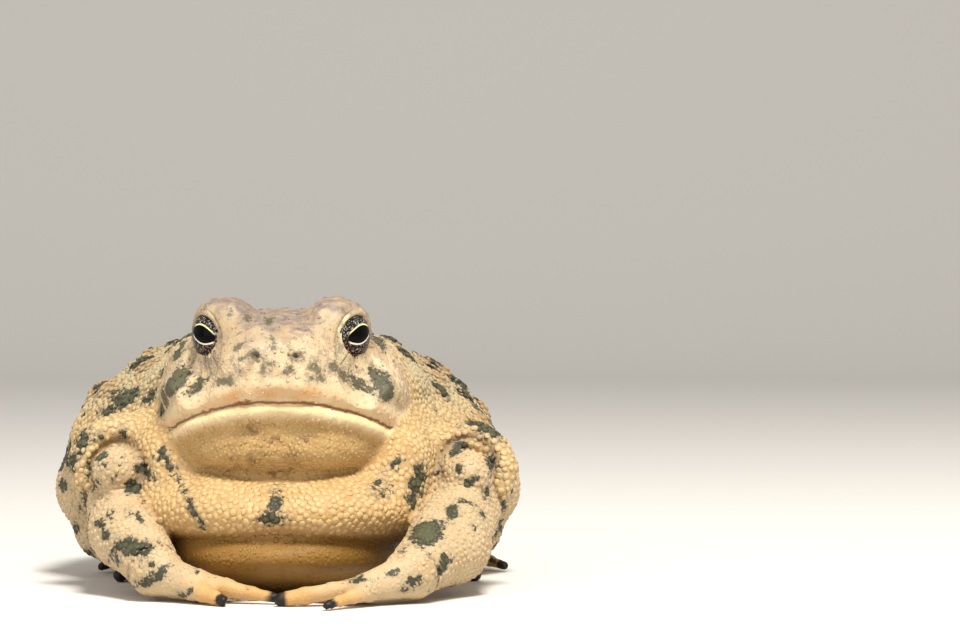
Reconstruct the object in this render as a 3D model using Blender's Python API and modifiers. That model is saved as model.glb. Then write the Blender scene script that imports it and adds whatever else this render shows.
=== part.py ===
"""A sitting American toad at life size, as a still museum model.

The toad faces -Y, +Z is up, and it rests on the plane z = 0. Its body is a smooth blend of plain
masses: balls with three radii, and limbs that taper from one radius to another. Each mass starts as a
Blender primitive. The primitives are fused by a voxel remesh, and the fused skin then slides onto the
exact blend. Thin sheets part the head, the jaw, the hands and the feet, and each limb is let into the
torso with a hair's gap. Sizes here are in millimetres, and MM turns them into Blender's metres.
"""

import math

import bmesh
import bpy
import numpy as np
from mathutils import Matrix, Vector

MM = 0.001

# Driving dimensions, in millimetres
GAP = 0.34
EYE_RADIUS = 4.7
EYE_CENTRE = (9.0, 12.8, 39.8)
EYE_GAZE = 57.0
LID_OPENING = 57.0
LID_FLARE = 0.55
NOSTRIL_SPREAD = 3.1
NOSTRIL_HEIGHT = 36.9
MOUTH_HEIGHT = 30.2
MOUTH_CORNER = 21.5
NECK_DEPTH = 28.0
THROAT_FOLD_HEIGHT = 17.9
NECK_BEND = 9.0
NECK_BOW = 0.008
NECK_RISE = 0.019
CENTRE_LINE = -0.6
# From the snout's tip and the face's middle plane to the middle of the footprint
FRAME_SHIFT = (0.3, -38.0, 0.0)

# How finely each form is fused, and how many triangles it keeps
SKIN_VOXEL = 0.9
DIGIT_VOXEL = 0.6
BODY_TRIANGLES = 5400
LIMB_TRIANGLES = 800
ROOT_TRIANGLES = 280

SEED = 7


def vec(*values):
    return np.array(values, dtype=float)


def turned(degrees):
    """Rotation matrix for turns about X, then Y, then Z."""
    rx, ry, rz = (math.radians(angle) for angle in degrees)
    turn = Matrix.Rotation(rz, 3, "Z") @ Matrix.Rotation(ry, 3, "Y") @ Matrix.Rotation(rx, 3, "X")
    return np.array(turn)


def ball(centre, radii, turn=(0, 0, 0), blend=3.0):
    """A mass with three radii."""
    return {"centre": vec(*centre), "radii": vec(*radii), "turn": turned(turn), "blend": blend}


def limb(start, end, start_radius, end_radius, blend=2.0):
    """A round mass that tapers from start to end."""
    return {"start": vec(*start), "end": vec(*end), "radii": (start_radius, end_radius), "blend": blend}


def mirrored(mass):
    """The same mass on the other side of the middle plane."""
    flip = vec(-1, 1, 1)
    other = dict(mass)
    for key in ("centre", "start", "end"):
        if key in mass:
            other[key] = mass[key] * flip
    if "turn" in mass:
        mirror = np.diag(flip)
        other["turn"] = mirror @ mass["turn"] @ mirror
    return other


def both(masses):
    return masses + [mirrored(mass) for mass in masses]


def moved(masses, by):
    """Copies of masses, each moved by one offset."""
    copies = []
    for mass in masses:
        copy = dict(mass)
        for key in ("centre", "start", "end"):
            if key in copy:
                copy[key] = copy[key] + vec(*by)
        copies.append(copy)
    return copies


def arch(centre, radius, thickness, lean, blend=3.2, steps=7):
    """A roll of skin bent over a shoulder: short limbs along an arc in the face's plane."""
    angles = np.radians(np.linspace(-25.0, 200.0, steps + 1))
    side = np.cos(angles) * radius
    rise = np.sin(angles) * radius
    places = [vec(*centre) + vec(a, lean * (b + radius), b) for a, b in zip(side, rise)]
    ends = zip(places[:-1], places[1:])
    return [limb(tuple(a), tuple(b), thickness, thickness, blend) for a, b in ends]


HEAD = [
    ball((0, 19.5, 30.2), (19.2, 19.3, 7.6), (-11, 0, 0)),
    ball((0, 19.5, 35.8), (14.2, 16.5, 7.9), (-5, 0, 0), 5.0),
    ball((0, 7.8, 33.8), (9.5, 7.8, 5.4), (-8, 0, 0), 4.0),
    ball((0, 19.4, 25.2), (17.6, 18.0, 6.8), (-11, 0, 0), 3.0),
    ball((0, 15.8, 23.4), (14.6, 14.0, 5.8), (4, 0, 0), 3.0),
] + both([
    ball(EYE_CENTRE, (5.3, 5.6, 5.5), (0, 0, 0), 1.8),
    limb((7.5, 11.0, 42.3), (8.0, 18.5, 43.0), 2.4, 2.6, 2.4),
    ball((14.2, 22.5, 34.2), (4.0, 6.0, 5.0), (0, 0, 0), 3.0),
    limb((7.0, 9.4, 40.4), (3.0, 2.9, 37.0), 2.1, 1.6, 2.2),
])

TRUNK = [
    ball((-1.8, 52, 19.5), (33, 36, 21.5), (2, 0, 0)),
    ball((-0.8, 34, 25), (23.5, 20, 15.5), (0, 0, 0), 6.0),
    ball((-0.5, 27, 13.0), (25, 28.2, 8.2), (0, 0, 0), 2.4),
    ball((-0.8, 29.5, 6.4), (20, 30.4, 7.6), (0, 0, 0), 1.0),
    ball((-1, 72, 13.5), (23, 19, 14.5), (0, 0, 0), 6.0),
] + both([
    ball((17.0, 31, 31.4), (4.8, 8.5, 4.4), (0, 14, -12), 2.0),
    ball((16.5, 21, 19.6), (7.5, 9.5, 8.0), (0, 0, 0), 4.0),
]) + [
    ball((-20.0, 49, 21.2), (16.2, 24, 12.8), (0, -8, 0), 5.0),
    ball((20.0, 49, 18.2), (14.8, 24, 11.8), (0, 4, 0), 5.0),
] + arch((-25.6, 18.6, 19.0), 5.8, 1.6, 0.35) + arch((28.4, 19.6, 18.0), 5.8, 1.6, 0.35)

# The toad's right side is at -X
UPPER_ARM = {
    "right": [limb((-21.5, 25, 17.2), (-25.5, 15.5, 19.0), 4.4, 3.9)],
    "left": [limb((22.5, 26, 17.0), (28.6, 17.5, 18.0), 4.4, 3.9)],
}
FOREARM = {
    "right": [
        limb((-25.4, 21, 13.2), (-23.6, 11.5, 9.6), 5.4, 5.3),
        limb((-23.6, 11.5, 9.6), (-18.6, 2.0, 5.0), 5.3, 3.9),
    ],
    "left": [
        limb((28.0, 20.5, 12.8), (25.9, 9.5, 8.1), 5.8, 6.0),
        limb((25.9, 9.5, 8.1), (20.6, -1.5, 4.8), 6.0, 4.0),
    ],
}
HAND = {
    "right": [
        limb((-18.6, 1.6, 4.2), (-12.2, -2.2, 2.8), 3.4, 2.2, 1.0),
        limb((-12.4, -3.2, 2.3), (-7.2, -8.2, 0.8), 1.6, 0.8, 1.0),
        limb((-12.0, -1.8, 3.0), (0.2, -4.5, 1.0), 1.6, 0.9, 1.0),
        limb((-13.0, -0.8, 2.2), (-2.5, 1.0, 0.8), 1.3, 0.8, 1.0),
        limb((-14.0, 0.0, 2.0), (-9.0, 4.5, 0.8), 1.3, 0.8, 1.0),
    ],
    "left": [
        limb((20.6, -2.2, 4.2), (14.0, -7.0, 2.8), 3.5, 2.2, 1.0),
        limb((14.0, -8.2, 2.3), (8.4, -14.0, 0.8), 1.6, 0.8, 1.0),
        limb((13.8, -6.8, 3.0), (1.2, -7.8, 1.0), 1.6, 0.9, 1.0),
        limb((14.2, -6.0, 2.2), (4.0, -1.0, 0.8), 1.3, 0.8, 1.0),
        limb((15.0, -5.0, 2.0), (10.0, 2.0, 0.8), 1.3, 0.8, 1.0),
    ],
}
THIGH_RIGHT = [limb((-19.0, 68, 13.5), (-30.9, 47.5, 14.4), 9.4, 7.8)]
SHANK_RIGHT = [limb((-29.6, 47.5, 8.2), (-25.0, 76, 6.0), 6.4, 4.5)]
FOOT_RIGHT = [
    limb((-22, 77, 4.5), (-25, 62, 3.6), 4.2, 3.4, 1.0),
    limb((-25, 62, 3.0), (-33, 52, 1.0), 1.8, 0.95, 1.0),
    limb((-25, 62, 3.0), (-28, 34.0, 1.0), 2.0, 0.95, 1.0),
    limb((-24, 60, 3.0), (-22, 38, 1.0), 1.8, 0.95, 1.0),
    limb((-23, 61, 3.0), (-17, 47, 1.0), 1.6, 0.9, 1.0),
    limb((-22, 62, 3.0), (-14, 54, 1.0), 1.5, 0.9, 1.0),
]
LEFT_LEG_OFFSET = (-1.7, 0, 0)
THIGH = {"right": THIGH_RIGHT, "left": moved([mirrored(m) for m in THIGH_RIGHT], LEFT_LEG_OFFSET)}
SHANK = {"right": SHANK_RIGHT, "left": moved([mirrored(m) for m in SHANK_RIGHT], LEFT_LEG_OFFSET)}
FOOT = {
    "right": moved(FOOT_RIGHT, (1.0, -1.0, 0)),
    "left": moved([mirrored(m) for m in FOOT_RIGHT], (1.6, 1.0, 0)),
}
SIDES = ("right", "left")


def distance(points, mass):
    """Signed distance, negative inside: close to exact for a ball, exact along a limb's axis."""
    if "centre" in mass:
        local = (points - mass["centre"]) @ mass["turn"]
        near = np.linalg.norm(local / mass["radii"], axis=1)
        slope = np.linalg.norm(local / mass["radii"] ** 2, axis=1)
        return near * (near - 1.0) / np.maximum(slope, 1e-9)
    along = mass["end"] - mass["start"]
    share = np.clip((points - mass["start"]) @ along / (along @ along), 0.0, 1.0)
    radius = mass["radii"][0] + share * (mass["radii"][1] - mass["radii"][0])
    return np.linalg.norm(points - mass["start"] - share[:, None] * along, axis=1) - radius


def smooth_union(first, second, blend):
    """The smaller of two distances, rounded where they differ by less than blend."""
    reach = np.maximum(blend - np.abs(first - second), 0.0) / blend
    return np.minimum(first, second) - reach * reach * blend / 4.0


def blended(points, masses):
    total = distance(points, masses[0])
    for mass in masses[1:]:
        total = smooth_union(total, distance(points, mass), mass["blend"])
    return total


def mouth_height(x, y):
    """Height of the mouth line: it falls to the corners and to the back."""
    return MOUTH_HEIGHT - 0.24 * y - 0.0048 * x * x


def face_forms(points):
    """Depth of the hollow before each eye, less the swell of the snout's ridge and of the mouth's corners."""
    side = np.abs(points[:, 0])
    y, z = points[:, 1], points[:, 2]
    ahead = 1.0 / (1.0 + np.exp((y - 12.0) / 0.8))
    from_eye = np.sqrt((side - EYE_CENTRE[0]) ** 2 + (y - EYE_CENTRE[1]) ** 2 + (z - EYE_CENTRE[2]) ** 2)
    clear_of_eye = 1.0 / (1.0 + np.exp((7.0 - from_eye) / 0.3))
    hollow = 0.8 * clear_of_eye * np.exp(-((side - 8.6) / 2.4) ** 2 - ((z - 33.8) / 2.4) ** 2)
    ridge = 0.35 * np.exp(-(side / 2.6) ** 2 - ((z - 36.0) / 3.5) ** 2)
    corner = 0.7 * np.exp(-((side - 18.6) / 1.8) ** 2 - ((y - 16.5) / 2.2) ** 2 - ((z - 24.0) / 1.5) ** 2)
    return ahead * (hollow - ridge) - corner


def lips(points):
    """Depth of the mouth line and of the hollow under the lower lip, less the swell of both lips."""
    off = points[:, 2] - mouth_height(points[:, 0], points[:, 1])
    ahead = 1.0 / (1.0 + np.exp((points[:, 1] - MOUTH_CORNER) / 0.8))
    line = 0.35 * np.exp(-(off / 0.8) ** 2)
    lower_lip = 0.5 * np.exp(-((off + 1.6) / 1.2) ** 2)
    hollow = 0.15 * np.exp(-((off + 3.8) / 1.2) ** 2)
    upper_lip = 0.4 * np.exp(-((off - 1.6) / 1.2) ** 2)
    over_lip = 0.12 * np.exp(-((off - 4.4) / 1.8) ** 2)
    return ahead * (line - lower_lip + hollow - upper_lip + over_lip)


def body_field(points):
    """Head and trunk as one form, with the lips and the face's hollows worked into the head."""
    head = blended(points, HEAD) + lips(points) + face_forms(points)
    return smooth_union(blended(points, TRUNK), head, 2.0)


def gradient(field, points):
    step = 0.05
    parts = [field(points + step * axis) - field(points - step * axis) for axis in np.eye(3)]
    return np.stack(parts, axis=1) / (2.0 * step)


def settle(field, points, rounds=4):
    """Slide points along the slope of the field until they lie on its zero surface."""
    for _ in range(rounds):
        slope = gradient(field, points)
        steep = np.maximum((slope * slope).sum(axis=1), 0.25)
        move = (field(points) / steep)[:, None] * slope
        length = np.linalg.norm(move, axis=1)
        points = points - move * np.minimum(1.0, 1.5 / np.maximum(length, 1e-9))[:, None]
    return points


def clear_scene():
    for item in list(bpy.data.objects):
        bpy.data.objects.remove(item, do_unlink=True)


def collection(name):
    group = bpy.data.collections.new(name)
    bpy.context.scene.collection.children.link(group)
    return group


def rough_piece(shape, mass, grow):
    """Add one mass to a mesh under construction, as spheres and a cone."""
    if "centre" in mass:
        size = Matrix.Diagonal(Vector(mass["radii"] + grow)).to_4x4()
        place = Matrix.Translation(Vector(mass["centre"])) @ Matrix(mass["turn"].tolist()).to_4x4() @ size
        bmesh.ops.create_uvsphere(shape, u_segments=32, v_segments=20, radius=1.0, matrix=place)
        return
    start, end = Vector(mass["start"]), Vector(mass["end"])
    first, last = mass["radii"][0] + grow, mass["radii"][1] + grow
    along = end - start
    turn = along.to_track_quat("Z", "Y").to_matrix().to_4x4()
    middle = Matrix.Translation((start + end) / 2.0) @ turn
    bmesh.ops.create_cone(shape, cap_ends=True, segments=20, radius1=first, radius2=last,
                          depth=along.length, matrix=middle)
    for point, radius in ((start, first), (end, last)):
        bmesh.ops.create_uvsphere(shape, u_segments=20, v_segments=12, radius=radius,
                                  matrix=Matrix.Translation(point))


def read_points(mesh):
    flat = np.empty(len(mesh.vertices) * 3, dtype=np.float32)
    mesh.vertices.foreach_get("co", flat)
    return flat.reshape(-1, 3).astype(float)


def write_points(mesh, points):
    mesh.vertices.foreach_set("co", points.astype(np.float32).ravel())
    mesh.update()


def apply_modifiers(item):
    """Replace an object's mesh by the mesh that its modifiers give."""
    graph = bpy.context.evaluated_depsgraph_get()
    finished = bpy.data.meshes.new_from_object(item.evaluated_get(graph))
    item.modifiers.clear()
    item.data = finished
    return item


def fused(name, group, masses, field, voxel, triangles, grow=0.0, surface=None):
    """One closed form: primitives fused by a voxel remesh, slid onto the blend, and thinned."""
    shape = bmesh.new()
    for mass in masses:
        rough_piece(shape, mass, grow)
    mesh = bpy.data.meshes.new(name)
    shape.to_mesh(mesh)
    shape.free()
    item = bpy.data.objects.new(name, mesh)
    group.objects.link(item)
    for rounds in (4, 2):
        remesh = item.modifiers.new("Fuse", "REMESH")
        remesh.mode = "VOXEL"
        remesh.voxel_size = voxel
        apply_modifiers(item)
        points = settle(lambda at: field(at) - grow, read_points(item.data), rounds)
        write_points(item.data, points)
    if surface is not None:
        points = surface(points)
    if grow == 0.0:
        points[:, 2] = np.maximum(points[:, 2], 0.0)
    write_points(item.data, (points + vec(*FRAME_SHIFT)) * MM)
    item.data.calc_loop_triangles()
    thin = item.modifiers.new("Thin", "DECIMATE")
    thin.ratio = min(1.0, triangles / len(item.data.loop_triangles))
    apply_modifiers(item)
    return item


def cutter(item, group):
    """Mark an object as a tool that isn't part of the toad."""
    for owner in list(item.users_collection):
        owner.objects.unlink(item)
    group.objects.link(item)
    item.hide_render = True
    item.display_type = "WIRE"
    return item


def cut(item, tool):
    """Take one closed tool out of a piece."""
    knife = item.modifiers.new("Cut", "BOOLEAN")
    knife.operation = "DIFFERENCE"
    knife.solver = "EXACT"
    knife.object = tool
    return apply_modifiers(item)


def loose_pieces(item):
    """Lists of vertex numbers, one list for each separate surface, largest first."""
    shape = bmesh.new()
    shape.from_mesh(item.data)
    seen = set()
    pieces = []
    for start in shape.verts:
        if start.index in seen:
            continue
        seen.add(start.index)
        stack = [start]
        found = []
        while stack:
            corner = stack.pop()
            found.append(corner.index)
            for edge in corner.link_edges:
                other = edge.other_vert(corner)
                if other.index not in seen:
                    seen.add(other.index)
                    stack.append(other)
        pieces.append(found)
    shape.free()
    return sorted(pieces, key=len, reverse=True)


def keep_only(item, numbers):
    """Keep only the listed vertices of an object."""
    shape = bmesh.new()
    shape.from_mesh(item.data)
    wanted = set(numbers)
    bmesh.ops.delete(shape, geom=[v for v in shape.verts if v.index not in wanted], context="VERTS")
    shape.to_mesh(item.data)
    shape.free()
    return item


def largest(item):
    """Drop every scrap but the largest surface."""
    return keep_only(item, loose_pieces(item)[0])


def parted(item, tool, other_name, other_side):
    """Cut a form in two, and give the piece that lies on other_side its own object."""
    cut(item, tool)
    pieces = loose_pieces(item)[:2]
    points = read_points(item.data)
    middles = [points[numbers].mean(axis=0) for numbers in pieces]
    ahead = int(np.argmax([middle @ vec(*other_side) for middle in middles]))
    other = item.copy()
    other.data = item.data.copy()
    other.name = other_name
    item.users_collection[0].objects.link(other)
    keep_only(other, pieces[ahead])
    keep_only(item, pieces[1 - ahead])
    return other


def sheet_tool(name, group, place, across, along):
    """A thin curved sheet, a Blender grid bent by place(u, v) for u and v from -1 to 1."""
    bpy.ops.mesh.primitive_grid_add(x_subdivisions=across, y_subdivisions=along, size=2.0)
    item = bpy.context.active_object
    item.name = name
    flat = read_points(item.data)
    bent = place(flat[:, 0], flat[:, 1])
    write_points(item.data, (bent + vec(*FRAME_SHIFT)) * MM)
    wall = item.modifiers.new("Thickness", "SOLIDIFY")
    wall.thickness = GAP * MM
    wall.offset = 0.0
    apply_modifiers(item)
    return cutter(item, group)


def neck_place(u, v):
    """Behind the jaw the sheet stands up, under the throat it runs forward, and its sides rise."""
    bend = NECK_BEND
    x = 32.0 * u
    along = 60.0 * v
    quarter = bend * math.pi / 2.0
    angle = np.clip(along / quarter, 0.0, 1.0) * math.pi / 2.0
    y = NECK_DEPTH - bend + bend * np.cos(angle) - np.maximum(along - quarter, 0.0)
    z = THROAT_FOLD_HEIGHT + bend - bend * np.sin(angle) + np.maximum(-along, 0.0)
    low = angle / (math.pi / 2.0)
    bow = NECK_BOW * x * x * (1.0 - low)
    return np.stack([x, y - bow, z + NECK_RISE * x * x], axis=1)


def mouth_place(u, v):
    """The sheet between the jaws follows the mouth line back into the head."""
    x = 30.0 * u
    y = 20.0 + 30.0 * v
    return np.stack([x, y, mouth_height(x, y)], axis=1)


def disc_tool(name, group, centre, normal, radius):
    """A thin round slab across a limb."""
    turn = Vector(normal).to_track_quat("Z", "Y").to_matrix().to_4x4()
    middle = Vector((vec(*centre) + vec(*FRAME_SHIFT)) * MM)
    bpy.ops.mesh.primitive_cylinder_add(vertices=32, radius=radius * MM, depth=GAP * MM)
    item = bpy.context.active_object
    item.name = name
    item.data.transform(Matrix.Translation(middle) @ turn)
    return cutter(item, group)


def sphere_tool(name, group, centre, radii, segments=(20, 12)):
    place = Matrix.Translation(Vector((vec(*centre) + vec(*FRAME_SHIFT)) * MM))
    bpy.ops.mesh.primitive_uv_sphere_add(segments=segments[0], ring_count=segments[1], radius=1.0)
    item = bpy.context.active_object
    item.name = name
    item.data.transform(place @ Matrix.Diagonal(Vector(radii) * MM).to_4x4())
    return cutter(item, group)


def gaze(side):
    """Unit vector from the middle of an eye out through its opening."""
    angle = math.radians(EYE_GAZE)
    sign = -1.0 if side == "right" else 1.0
    return vec(sign * math.sin(angle), -math.cos(angle), 0.06)


def eye_centre(side):
    return vec(*EYE_CENTRE) * (vec(-1, 1, 1) if side == "right" else vec(1, 1, 1))


def lid_tool(name, group, side):
    """A flared sleeve ahead of the eye, which crosses the eyeball's surface at the edge of the lids."""
    depth = 10.0
    turn = Vector(gaze(side)).to_track_quat("Z", "Y").to_matrix().to_4x4()
    base = eye_centre(side) + gaze(side) * depth / 2.0 + vec(*FRAME_SHIFT)
    opening = math.radians(LID_OPENING)
    near = EYE_RADIUS * (math.sin(opening) - LID_FLARE * math.cos(opening))
    wide = near + LID_FLARE * depth
    bpy.ops.mesh.primitive_cone_add(vertices=28, radius1=near * MM, radius2=wide * MM, depth=depth * MM)
    item = bpy.context.active_object
    item.name = name
    item.data.transform(Matrix.Translation(Vector(base * MM)) @ turn)
    return cutter(item, group)


def front_of_body(x, z):
    """Depth of the skin straight ahead of a point on the face."""
    ahead = np.linspace(-5.0, 20.0, 501)
    points = np.stack([np.full_like(ahead, x), ahead, np.full_like(ahead, z)], axis=1)
    return ahead[int(np.argmax(body_field(points) < 0.0))]


def wart_places(random):
    """Seats of the back's warts: angle round the body and place along it, spread evenly and shaken."""
    seats = []
    for row, y in enumerate(np.arange(36.0, 86.0, 6.0)):
        for step in np.arange(-64.0, 65.0, 16.0):
            angle = math.radians(step + 8.0 * (row % 2) + random.uniform(-5.0, 5.0))
            depth = y + random.uniform(-2.0, 2.0)
            seats.append((math.sin(angle), depth, math.cos(angle), random.uniform(1.3, 2.4)))
    return seats


def warty(points):
    """Raise a rounded wart at each seat, along the skin's own slope."""
    random = np.random.default_rng(SEED)
    outward = gradient(body_field, points)
    outward /= np.maximum(np.linalg.norm(outward, axis=1), 1e-9)[:, None]
    core = vec(CENTRE_LINE, 0.0, 16.0)
    rise = np.zeros(len(points))
    for side, depth, up, radius in wart_places(random):
        ray = np.linspace(8.0, 60.0, 261)[:, None] * vec(side, 0.0, up) + core + vec(0.0, depth, 0.0)
        inside = body_field(ray) < 0.0
        if not inside.any():
            continue
        seat = ray[np.nonzero(inside)[0][-1]]
        reach = np.linalg.norm(points - seat, axis=1) / (1.5 * radius)
        rise = np.maximum(rise, 0.55 * radius * np.clip(1.0 - reach * reach, 0.0, 1.0) ** 1.5)
    return points + outward * rise[:, None]


def paint(item, name, colour, roughness):
    """Give a piece its own plain finish."""
    finish = bpy.data.materials.new(name)
    finish.use_nodes = True
    shader = finish.node_tree.nodes["Principled BSDF"]
    shader.inputs["Base Color"].default_value = (*colour, 1.0)
    shader.inputs["Roughness"].default_value = roughness
    shader.inputs["Metallic"].default_value = 0.0
    item.data.materials.clear()
    item.data.materials.append(finish)
    item.data.shade_smooth()
    item.data.set_sharp_from_angle(angle=math.radians(50.0))


BACK_BUFF = (0.45, 0.34, 0.20)
FACE_BUFF = (0.58, 0.43, 0.27)
JAW_OCHRE = (0.60, 0.42, 0.22)
LIMB_BUFF = (0.50, 0.38, 0.22)
DIGIT_ORANGE = (0.58, 0.36, 0.15)
EYE_DARK = (0.03, 0.025, 0.02)


def make_body(toad, tools):
    """Head, lower jaw and torso, parted from one form."""
    torso = fused("torso", toad, HEAD + TRUNK, body_field, SKIN_VOXEL, BODY_TRIANGLES, surface=warty)
    neck = sheet_tool("neck_sheet", tools, neck_place, 12, 14)
    head = parted(torso, neck, "head", (0, -0.7, 0.7))
    mouth = sheet_tool("mouth_sheet", tools, mouth_place, 12, 6)
    jaw = parted(head, mouth, "lower_jaw", (0, 0, -1))
    return head, jaw, torso


def open_face(head, tools):
    """Eye sockets, the rims of the lids, and the nostrils."""
    for side in SIDES:
        middle = eye_centre(side)
        clear = EYE_RADIUS + GAP
        cut(head, sphere_tool(f"socket_{side}", tools, middle, (clear, clear, clear)))
        cut(head, lid_tool(f"lids_{side}", tools, side))
        x = NOSTRIL_SPREAD * (-1.0 if side == "right" else 1.0)
        y = front_of_body(x, NOSTRIL_HEIGHT)
        cut(head, sphere_tool(f"nostril_{side}", tools, (x, y, NOSTRIL_HEIGHT), (0.5, 0.9, 0.8), (8, 6)))
    return largest(head)


def make_eye(toad, side):
    place = eye_centre(side) + vec(*FRAME_SHIFT)
    bpy.ops.mesh.primitive_uv_sphere_add(segments=20, ring_count=12, radius=EYE_RADIUS * MM)
    item = bpy.context.active_object
    item.name = f"eye_{side}"
    item.data.transform(Matrix.Translation(Vector(place * MM)))
    for owner in list(item.users_collection):
        owner.objects.unlink(item)
    toad.objects.link(item)
    return item


def limb_form(name, group, masses, triangles, grow=0.0):
    return fused(name, group, masses, lambda at: blended(at, masses), DIGIT_VOXEL, triangles, grow)


def let_in(limb_name, masses, triangles, neighbours, tools):
    """Carve the room of a limb, with a gap all round, out of each neighbour."""
    room = cutter(limb_form(f"room_{limb_name}", tools, masses, triangles, GAP), tools)
    for neighbour in neighbours:
        cut(neighbour, room)


def make_arm(toad, tools, side, torso):
    """Upper arm, forearm and hand of one side."""
    root = limb_form(f"upper_arm_{side}", toad, UPPER_ARM[side], ROOT_TRIANGLES)
    lower = FOREARM[side] + HAND[side]
    let_in(f"forearm_{side}", lower, LIMB_TRIANGLES, (root, torso), tools)
    let_in(f"upper_arm_{side}", UPPER_ARM[side], ROOT_TRIANGLES, (torso,), tools)
    forearm = limb_form(f"forearm_{side}", toad, lower, LIMB_TRIANGLES)
    wrist = FOREARM[side][-1]
    across = wrist["end"] - wrist["start"]
    tool = disc_tool(f"wrist_{side}", tools, wrist["end"], across, 5.5)
    hand = parted(forearm, tool, f"hand_{side}", across)
    return largest(root), forearm, hand


def make_leg(toad, tools, side, torso):
    """Thigh, shank and foot of one side: the foot lies under the shank, and the shank under the thigh."""
    thigh = limb_form(f"thigh_{side}", toad, THIGH[side], ROOT_TRIANGLES)
    shank = limb_form(f"shank_{side}", toad, SHANK[side], ROOT_TRIANGLES)
    foot = limb_form(f"foot_{side}", toad, FOOT[side], LIMB_TRIANGLES)
    let_in(f"foot_{side}", FOOT[side], LIMB_TRIANGLES, (shank, thigh, torso), tools)
    let_in(f"shank_{side}", SHANK[side], ROOT_TRIANGLES, (thigh, torso), tools)
    let_in(f"thigh_{side}", THIGH[side], ROOT_TRIANGLES, (torso,), tools)
    return largest(thigh), largest(shank), foot


def main():
    clear_scene()
    toad = collection("american_toad")
    tools = collection("cutters")
    head, jaw, torso = make_body(toad, tools)
    open_face(head, tools)
    paint(head, "face_skin", FACE_BUFF, 0.6)
    paint(jaw, "throat_skin", JAW_OCHRE, 0.6)
    for side in SIDES:
        paint(make_eye(toad, side), f"eye_gloss_{side}", EYE_DARK, 0.08)
        upper_arm, forearm, hand = make_arm(toad, tools, side, torso)
        paint(upper_arm, f"upper_arm_skin_{side}", LIMB_BUFF, 0.6)
        paint(forearm, f"forearm_skin_{side}", LIMB_BUFF, 0.6)
        paint(hand, f"hand_skin_{side}", DIGIT_ORANGE, 0.55)
        thigh, shank, foot = make_leg(toad, tools, side, torso)
        paint(thigh, f"thigh_skin_{side}", BACK_BUFF, 0.6)
        paint(shank, f"shank_skin_{side}", BACK_BUFF, 0.6)
        paint(foot, f"foot_skin_{side}", DIGIT_ORANGE, 0.55)
    largest(torso)
    paint(torso, "back_skin", BACK_BUFF, 0.65)


main()
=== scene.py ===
"""The looks of a sitting American toad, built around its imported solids.

The whole skin is one surface: balls and tapered limbs, each a numpy grid, are fused and slid onto their
smooth blend, then warts, lids and folds are raised on it. Rounded granules, small closed domes, sit on
the skin in their thousands. Lengths here are millimetres in the toad's own frame, where x = 0 is the
middle of the face, y = 0 the tip of the snout and z = 0 the floor; placed() turns them into metres.
"""
import math

import bmesh
import bpy
import numpy as np
from mathutils import Matrix, Vector


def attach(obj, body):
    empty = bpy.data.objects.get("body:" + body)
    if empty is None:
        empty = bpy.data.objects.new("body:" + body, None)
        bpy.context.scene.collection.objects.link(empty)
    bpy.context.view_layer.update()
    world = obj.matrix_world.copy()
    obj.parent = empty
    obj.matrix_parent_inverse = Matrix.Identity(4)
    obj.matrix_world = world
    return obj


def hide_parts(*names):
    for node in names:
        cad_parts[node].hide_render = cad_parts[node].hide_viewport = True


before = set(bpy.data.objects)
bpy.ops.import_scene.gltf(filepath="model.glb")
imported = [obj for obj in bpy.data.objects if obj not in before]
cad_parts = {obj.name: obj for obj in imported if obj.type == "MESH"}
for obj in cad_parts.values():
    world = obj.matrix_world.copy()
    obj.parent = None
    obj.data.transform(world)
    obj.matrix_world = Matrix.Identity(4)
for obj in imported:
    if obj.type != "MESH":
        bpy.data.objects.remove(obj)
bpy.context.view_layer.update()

MM = 0.001
SEED = 7
# From the snout's tip and the face's middle plane to the middle of the footprint
FRAME_SHIFT = (0.3, -38.0, 0.0)

# Driving dimensions, in millimetres and degrees
EYE_RADIUS = 4.7
EYE_CENTRE = (9.0, 12.8, 39.8)
EYE_GAZE = 57.0
LID_OPENING = 57.0
LID_FLARE = 0.55
NASAL_FLARE = 1.0
LID_THICKNESS = 0.38
PUPIL_AZIMUTH = {"right": 40.0, "left": 49.0}
NOSTRIL_SPREAD = 3.1
NOSTRIL_HEIGHT = 36.9
MOUTH_HEIGHT = 30.2
MOUTH_CORNER = 21.5
CENTRE_LINE = -0.6
FUSE_VOXEL = 0.8
SKIN_VOXEL = 0.66

# Where the camera stands, how far it looks down and its lens
STATION = (30.6, -500.0, 47.0)
STATION_PITCH = 0.54
LENS = 125.0
SENSOR = 36.0


def vec(*values):
    return np.array(values, dtype=float)


def clamped(values):
    return np.clip(values, 0.0, 1.0)


def step_up(values, low, high):
    """0 under low, 1 over high, and smooth between."""
    share = clamped((values - low) / (high - low))
    return share * share * (3.0 - 2.0 * share)


def step_down(values, low, high):
    """1 under low, 0 over high, and smooth between."""
    return 1.0 - step_up(values, low, high)


def bell(*terms):
    """A smooth bump from 0 to 1. The terms come in threes: values, middle of the bump, half-width."""
    total = 0.0
    for values, middle, width in zip(terms[::3], terms[1::3], terms[2::3]):
        total = total + ((values - middle) / width) ** 2
    return np.exp(-total)


def turned(degrees):
    """Rotation matrix for turns about X, then Y, then Z."""
    rx, ry, rz = (math.radians(angle) for angle in degrees)
    turn = Matrix.Rotation(rz, 3, "Z") @ Matrix.Rotation(ry, 3, "Y") @ Matrix.Rotation(rx, 3, "X")
    return np.array(turn)


def ball(centre, radii, turn=(0, 0, 0), blend=3.0):
    """A mass with three radii."""
    return {"centre": vec(*centre), "radii": vec(*radii), "turn": turned(turn), "blend": blend}


def limb(start, end, start_radius, end_radius, blend=2.0):
    """A round mass that tapers from start to end."""
    return {"start": vec(*start), "end": vec(*end), "radii": (start_radius, end_radius), "blend": blend}


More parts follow.
